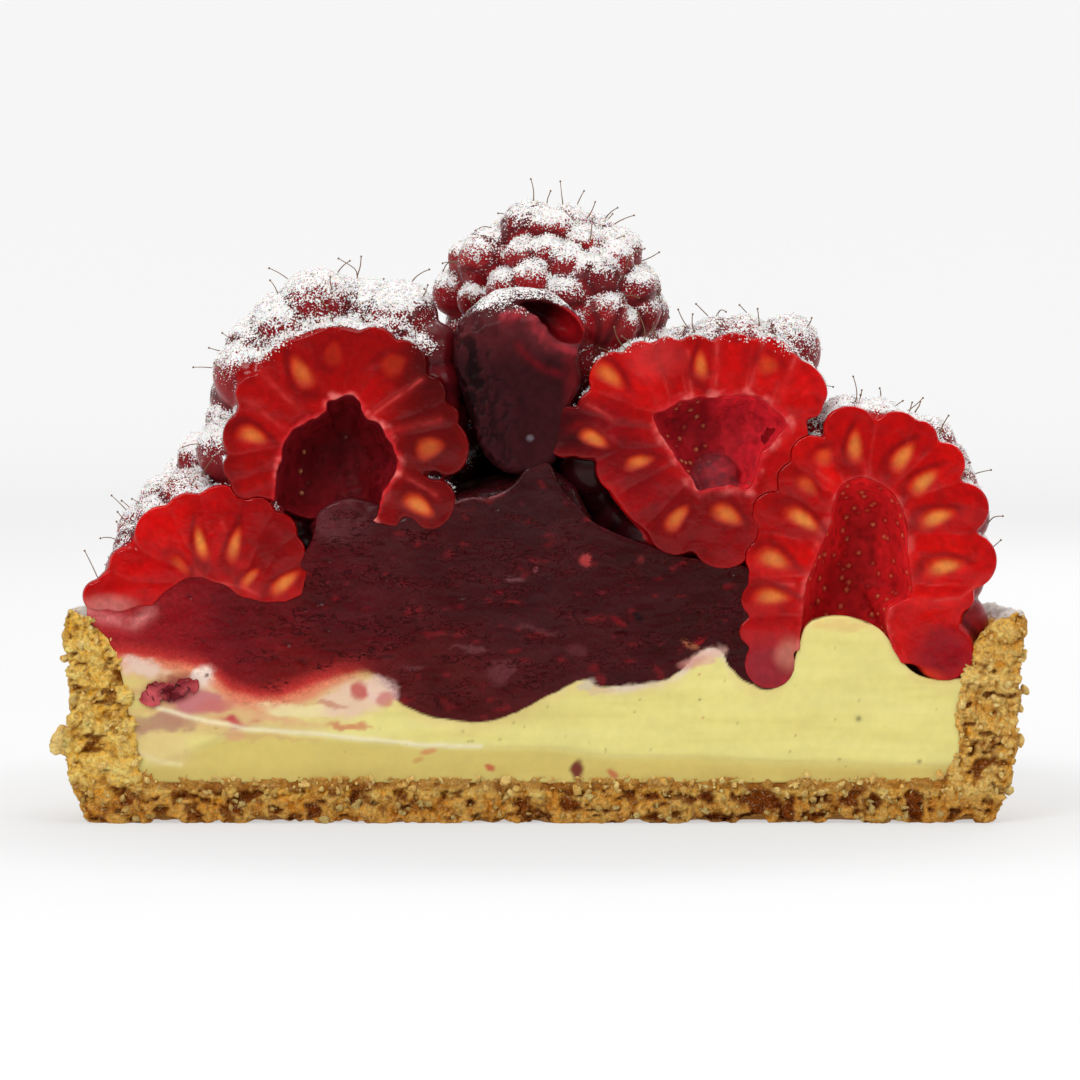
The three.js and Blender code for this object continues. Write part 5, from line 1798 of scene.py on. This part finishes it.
def add_crumbs(settings, crust):
    """Loose crumbs held on the cut shell and clusters that stand out from its walls."""
    random = np.random.default_rng(91)
    points, facing = places(crust) / MM, directions(crust)
    able = np.flatnonzero((facing[:, 1] < -0.35) & (points[:, 1] < CUT_Y + 0.5) & (points[:, 2] > 0.25))
    chosen = random.choice(able, settings.crumb_count, replace=False)
    sizes = 0.07 + 0.24 * random.uniform(0, 1, (settings.crumb_count, 1)) ** 2.5
    sizes = sizes * random.uniform(0.7, 1.4, (settings.crumb_count, 3))
    centres = points[chosen] + facing[chosen] * sizes * 0.3
    edge = np.array([
        (-40.3, 0.9, 6.9, 0.8), (-40.6, 0.7, 6.2, 0.62), (-39.9, 0.8, 6.2, 0.7), (-40.0, 1.2, 7.4, 0.7),
        (-39.9, 1.5, 13.6, 0.4),
        (39.7, 1.2, 14, 0.5), (39.5, 1.0, 6.8, 0.5), (39.9, 1.8, 11.0, 0.42), (39.4, 0.8, 9.4, 0.34),
        (38.6, 0.9, 2.6, 0.4),
    ])
    centres = np.concatenate([centres, edge[:, :3] + (0, CUT_Y, 0)])
    sizes = np.concatenate([sizes, np.repeat(edge[:, 3:], 3, axis=1)])
    centres[:, 2] = np.maximum(centres[:, 2], sizes[:, 2] + 0.05)
    verts, faces = balls(centres, sizes, level=2)
    verts = verts + 0.3 * np.stack([layered_noise(verts, 0.45, seed, 2) for seed in (93, 94, 95)], axis=1)
    verts[:, 2] = np.maximum(verts[:, 2], 0)
    crumbs = mesh_object("loose_crumbs", verts, faces)
    tone = 0.5 + 0.5 * soft_noise(verts, 0.8, 97)
    low = 1 - ramp(verts[:, 2], 1.6, 3.4)
    colours = blend(linear((230, 166, 66)), linear((255, 230, 150)), tone)
    paint(crumbs, "tint", colours * (1 - 0.35 * low)[:, None])
    tag(crumbs, "dust", np.zeros(len(verts)))
    settle(crumbs, crust.data.materials[0], "crust")


# Stage

def add_stage(settings):
    """A pale bowl of a floor, soft lights and the camera at the photograph's angle."""
    profile = [(0.0, 0.0), (0.3, 0.0), (0.8, 0.0), (1.15, 0.004), (1.35, 0.03), (1.5, 0.1), (1.58, 0.22),
               (1.6, 0.45)]
    curve = rounded(profile, 4, closed=False)
    mesh = bpy.data.meshes.new("floor")
    mesh.from_pydata([(r, AXIS_Y * MM, z) for r, z in curve], [(i, i + 1) for i in range(len(curve) - 1)],
                     [])
    floor = bpy.data.objects.new("floor", mesh)
    bpy.context.scene.collection.objects.link(floor)
    make_active(floor)
    bpy.ops.object.mode_set(mode="EDIT")
    bpy.ops.mesh.select_all(action="SELECT")
    bpy.ops.mesh.spin(steps=96, angle=2 * math.pi, center=(0, AXIS_Y * MM, 0), axis=(0, 0, 1))
    bpy.ops.mesh.select_all(action="SELECT")
    bpy.ops.mesh.remove_doubles(threshold=0.0001)
    bpy.ops.mesh.normals_make_consistent(inside=True)
    bpy.ops.object.mode_set(mode="OBJECT")
    floor.data.shade_smooth()
    finish = Finish("floor_white", Roughness=0.9, Specular_IOR_Level=0.0)
    finish.shader.inputs["Base Color"].default_value = (*[settings.floor_albedo] * 3, 1)
    finish.shader.inputs["Emission Color"].default_value = (1.0, 1.0, 1.0, 1)
    reach = finish.nodes.new("ShaderNodeVectorMath")
    reach.operation = "LENGTH"
    finish.links.new(finish.objects, reach.inputs[0])
    glow = finish.steps(reach.outputs["Value"], 0.12, 1.5, settings.floor_glow, settings.floor_glow_far)
    sides = finish.nodes.new("ShaderNodeSeparateXYZ")
    finish.links.new(finish.objects, sides.inputs[0])
    near = finish.steps(sides.outputs["Y"], -0.6, -0.2, settings.floor_front, 1.0)
    # A painted shadow: the floor gives a little less light close round the tart
    across = finish.math("POWER", finish.math("DIVIDE", sides.outputs["X"], 0.06), 2.0)
    deep = finish.math("POWER", finish.math("DIVIDE", sides.outputs["Y"], 0.07), 2.0)
    shade = finish.steps(finish.math("ADD", across, deep), 0.3, 1.3, 1 - settings.floor_shade, 1.0)
    finish.link(finish.math("MULTIPLY", finish.math("MULTIPLY", glow, near), shade), "Emission Strength")
    floor.data.materials.append(finish.material)
    clear_selection()

    world = bpy.context.scene.world or bpy.data.worlds.new("soft_room")
    bpy.context.scene.world = world
    world.use_nodes = True
    nodes, links = world.node_tree.nodes, world.node_tree.links
    nodes.clear()
    coordinates = nodes.new("ShaderNodeTexCoord")
    split = nodes.new("ShaderNodeSeparateXYZ")
    links.new(coordinates.outputs["Generated"], split.inputs[0])
    lean = nodes.new("ShaderNodeMapRange")
    for key, value in (("From Min", -1.0), ("From Max", 0.6), ("To Min", settings.room_front),
                       ("To Max", settings.room_back)):
        lean.inputs[key].default_value = value
    links.new(split.outputs["Y"], lean.inputs["Value"])
    background = nodes.new("ShaderNodeBackground")
    background.inputs["Color"].default_value = (1.0, 1.0, 1.0, 1)
    links.new(lean.outputs["Result"], background.inputs["Strength"])
    output = nodes.new("ShaderNodeOutputWorld")
    links.new(background.outputs[0], output.inputs[0])

    lights = [
        ("front_softbox", (-0.24, -0.5, 0.4), 0.3, settings.front_light),
        ("side_softbox", (0.42, -0.4, 0.3), 0.26, settings.side_light),
        ("top_softbox", (0.05, -0.05, 0.62), 0.42, settings.top_light),
        ("back_softbox", (0.18, 0.42, 0.34), 0.3, settings.back_light),
    ]
    for name, place, size, energy in lights:
        light = bpy.data.lights.new(name, "AREA")
        light.shape = "DISK"
        light.size = size
        light.energy = energy
        lamp = bpy.data.objects.new(name, light)
        lamp.location = place
        aim = Vector((0, CUT_Y * MM, 0.022)) - Vector(place)
        lamp.rotation_euler = aim.to_track_quat("-Z", "Y").to_euler()
        bpy.context.scene.collection.objects.link(lamp)

    half_frame = 540 / PIXELS_PER_MM * MM
    centre_x, centre_z = (value * MM for value in on_cut(540, 540))
    distance = settings.camera_distance
    rise = settings.camera_rise
    camera = bpy.data.cameras.new("camera")
    camera.sensor_width = 36
    camera.lens = 18 * math.hypot(distance, rise) / half_frame
    camera.clip_start, camera.clip_end = 0.01, 10
    camera.dof.use_dof = False
    eye = bpy.data.objects.new("camera", camera)
    eye.location = (centre_x, CUT_Y * MM - distance, centre_z + rise)
    eye.rotation_euler = (Vector((centre_x, CUT_Y * MM,
                                  centre_z)) - eye.location).to_track_quat("-Z", "Y").to_euler()
    bpy.context.scene.collection.objects.link(eye)
    bpy.context.scene.camera = eye
    bpy.context.scene.view_settings.view_transform = "Standard"


# Settings, operators and the panel

def to_255(colour):
    """A picker's linear colour as a display colour."""
    c = np.asarray(colour[:3], float)
    return 255 * np.where(c <= 0.0031308, 12.92 * c, 1.055 * c ** (1 / 2.4) - 0.055)


def colour_property(name, description, display):
    return FloatVectorProperty(name=name, description=description,
                               default=tuple(float(v) for v in linear(display)),
                               subtype="COLOR", size=3, min=0.0, max=1.0)


class TartShellSettings(bpy.types.PropertyGroup):
    crumb_size: FloatProperty(name="Crumb size", description="Width of the coarser crumbs", default=0.00125,
                              min=0.0005, max=0.004, unit="LENGTH")
    crumb_count: IntProperty(name="Loose crumbs", description="Crumbs held on the cut shell", default=700,
                             min=0, max=2200)


class TartBerrySettings(bpy.types.PropertyGroup):
    drupelet_pitch: FloatProperty(name="Drupelet spacing",
                                  description="Distance between neighbouring drupelets",
                                  default=0.0037, min=0.002, max=0.006, unit="LENGTH")
    cut_spacing: FloatProperty(name="Cut face detail", description="Grid spacing of the cut berries' skins",
                               default=0.000155, min=0.0001, max=0.001, unit="LENGTH")
    glow: FloatProperty(name="Translucency", description="Share of light that passes through the flesh",
                        default=0.3,
                        min=0.0, max=1.0, subtype="FACTOR")
    skin_bright: colour_property("Bright skin", "Colour of the lightest drupelets", (158, 24, 30))
    skin_deep: colour_property("Deep skin", "Colour of the darkest drupelets", (98, 12, 20))
    sugar_colour: colour_property("Sugar", "Colour of the icing sugar", (244, 240, 238))
    sugar_amount: FloatProperty(name="Sugar", description="How thickly icing sugar lies", default=1.0,
                                min=0.0, max=2.0)
    grains_per_berry: IntProperty(name="Sugar grains", description="Standing grains on a berry",
                                  default=2900, min=0,
                                  max=6000)
    hair_length: FloatProperty(name="Hair length", description="Mean length of the fine hairs",
                               default=0.0019,
                               min=0.0005, max=0.005, unit="LENGTH")

    def skin_bright_255(self):
        return to_255(self.skin_bright)

    def skin_deep_255(self):
        return to_255(self.skin_deep)

    def sugar_colour_255(self):
        return to_255(self.sugar_colour)


class TartStageSettings(bpy.types.PropertyGroup):
    floor_albedo: FloatProperty(name="Floor", description="Lightness of the floor", default=0.3, min=0.0,
                                max=1.0)
    floor_glow: FloatProperty(name="Floor glow", description="Light that the floor gives by itself",
                              default=0.62,
                              min=0.0, max=2.0)
    floor_glow_far: FloatProperty(name="Far glow",
                                  description="Light that the floor's far rim gives by itself",
                                  default=0.755, min=0.0, max=2.0)
    floor_front: FloatProperty(name="Front glow", description="Share of the floor's light before the tart",
                               default=0.12,
                               min=0.0, max=1.0)
    floor_shade: FloatProperty(name="Shade",
                               description="Share of the floor's light lost close to the tart", default=0.16,
                               min=0.0, max=1.0)
    room_front: FloatProperty(name="Room, front", description="Light from the camera's side", default=0.1,
                              min=0.0, max=4.0)
    room_back: FloatProperty(name="Room, back", description="Light from behind the tart", default=0.89,
                             min=0.0, max=4.0)
    front_light: FloatProperty(name="Front light", description="Power of the front softbox", default=2.0,
                               min=0.0, unit="POWER")
    side_light: FloatProperty(name="Side light", description="Power of the softbox on the right",
                              default=0.5, min=0.0,
                              unit="POWER")
    top_light: FloatProperty(name="Top light", description="Power of the top softbox", default=1.0, min=0.0,
                             unit="POWER")
    back_light: FloatProperty(name="Back light", description="Power of the back softbox", default=0.7,
                              min=0.0, unit="POWER")
    camera_distance: FloatProperty(name="Camera distance", description="From the cut face to the camera",
                                   default=0.45,
                                   min=0.1, max=3.0, unit="LENGTH")
    camera_rise: FloatProperty(name="Camera rise",
                               description="Height of the camera over the picture's centre",
                               default=0.0185, min=-0.2, max=0.5, unit="LENGTH")


MADE = {"fruit": []}


class TART_OT_shell(bpy.types.Operator):
    """Bake the crumbly shell"""
    bl_idname = "tart.shell"
    bl_label = "Shell"

    def execute(self, context):
        MADE["crust"] = add_crust(context.scene.tart_shell)
        return {"FINISHED"}


class TART_OT_fillings(bpy.types.Operator):
    """Fill in the custard, the cream and the berry compote"""
    bl_idname = "tart.fillings"
    bl_label = "Custard, cream and compote"

    def execute(self, context):
        add_fillings()
        return {"FINISHED"}


class TART_OT_cut_berries(bpy.types.Operator):
    """Add the four raspberries that the cut goes through"""
    bl_idname = "tart.cut_berries"
    bl_label = "Cut raspberries"

    def execute(self, context):
        settings = context.scene.tart_berries
        finish = bpy.data.materials.get("raspberry_flesh") or berry_finish("raspberry_flesh", settings)
        kept = {}
        for name in CUT_BERRIES:
            MADE["fruit"].append(settle(add_cut_berry(name, settings, kept), finish, "raspberry", name))
        for form in kept.values():
            remove(form)
        return {"FINISHED"}


class TART_OT_whole_berries(bpy.types.Operator):
    """Add the whole raspberries of the heap"""
    bl_idname = "tart.whole_berries"
    bl_label = "Whole raspberries"

    def execute(self, context):
        settings = context.scene.tart_berries
        finish = bpy.data.materials.get("raspberry_flesh") or berry_finish("raspberry_flesh", settings)
        for name in WHOLE_BERRIES:
            MADE["fruit"].append(settle(add_whole_berry(name, settings), finish, "raspberry", name))
        return {"FINISHED"}


class TART_OT_dark_berry(bpy.types.Operator):
    """Add the dark, jam-soaked berry and the scrap in the cream"""
    bl_idname = "tart.dark_berry"
    bl_label = "Dark berry"

    def execute(self, context):
        settings = context.scene.tart_berries
        finish = berry_finish("soaked_skin", settings, 0.14)
        settle(add_dark_berry(), finish, "dark_berry", "dark_berry")
        settle(add_berry_scrap(), bpy.data.materials["raspberry_flesh"], "raspberry", "berry_scrap")
        return {"FINISHED"}


class TART_OT_trimmings(bpy.types.Operator):
    """Add hairs, standing sugar grains and loose crumbs"""
    bl_idname = "tart.trimmings"
    bl_label = "Hairs, sugar and crumbs"

    def execute(self, context):
        settings = context.scene.tart_berries
        add_hairs(MADE["fruit"], settings)
        add_sugar(MADE["fruit"], settings)
        add_crumbs(context.scene.tart_shell, MADE["crust"])
        return {"FINISHED"}


class TART_OT_stage(bpy.types.Operator):
    """Set the floor, the lights and the camera"""
    bl_idname = "tart.stage"
    bl_label = "Stage"

    def execute(self, context):
        add_stage(context.scene.tart_stage)
        return {"FINISHED"}


OPERATORS = (
    TART_OT_stage, TART_OT_shell, TART_OT_fillings, TART_OT_cut_berries, TART_OT_whole_berries,
    TART_OT_dark_berry,
    TART_OT_trimmings,
)


class TART_PT_panel(bpy.types.Panel):
    bl_label = "Raspberry tart"
    bl_idname = "TART_PT_panel"
    bl_space_type = "VIEW_3D"
    bl_region_type = "UI"
    bl_category = "Tart"

    def draw(self, context):
        scene = context.scene
        for group in (scene.tart_shell, scene.tart_berries, scene.tart_stage):
            column = self.layout.column()
            for key in group.__annotations__:
                column.prop(group, key)
        for operator in OPERATORS:
            self.layout.operator(operator.bl_idname)


CLASSES = (TartShellSettings, TartBerrySettings, TartStageSettings, *OPERATORS, TART_PT_panel)


def register():
    for cls in CLASSES:
        bpy.utils.register_class(cls)
    bpy.types.Scene.tart_shell = PointerProperty(type=TartShellSettings)
    bpy.types.Scene.tart_berries = PointerProperty(type=TartBerrySettings)
    bpy.types.Scene.tart_stage = PointerProperty(type=TartStageSettings)


def unregister():
    for name in ("tart_shell", "tart_berries", "tart_stage"):
        delattr(bpy.types.Scene, name)
    for cls in reversed(CLASSES):
        bpy.utils.unregister_class(cls)


def main():
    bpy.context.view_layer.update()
    register()
    for make in (bpy.ops.tart.stage, bpy.ops.tart.shell, bpy.ops.tart.fillings, bpy.ops.tart.cut_berries,
                 bpy.ops.tart.whole_berries, bpy.ops.tart.dark_berry, bpy.ops.tart.trimmings):
        make()


if __name__ == "__main__":
    main()
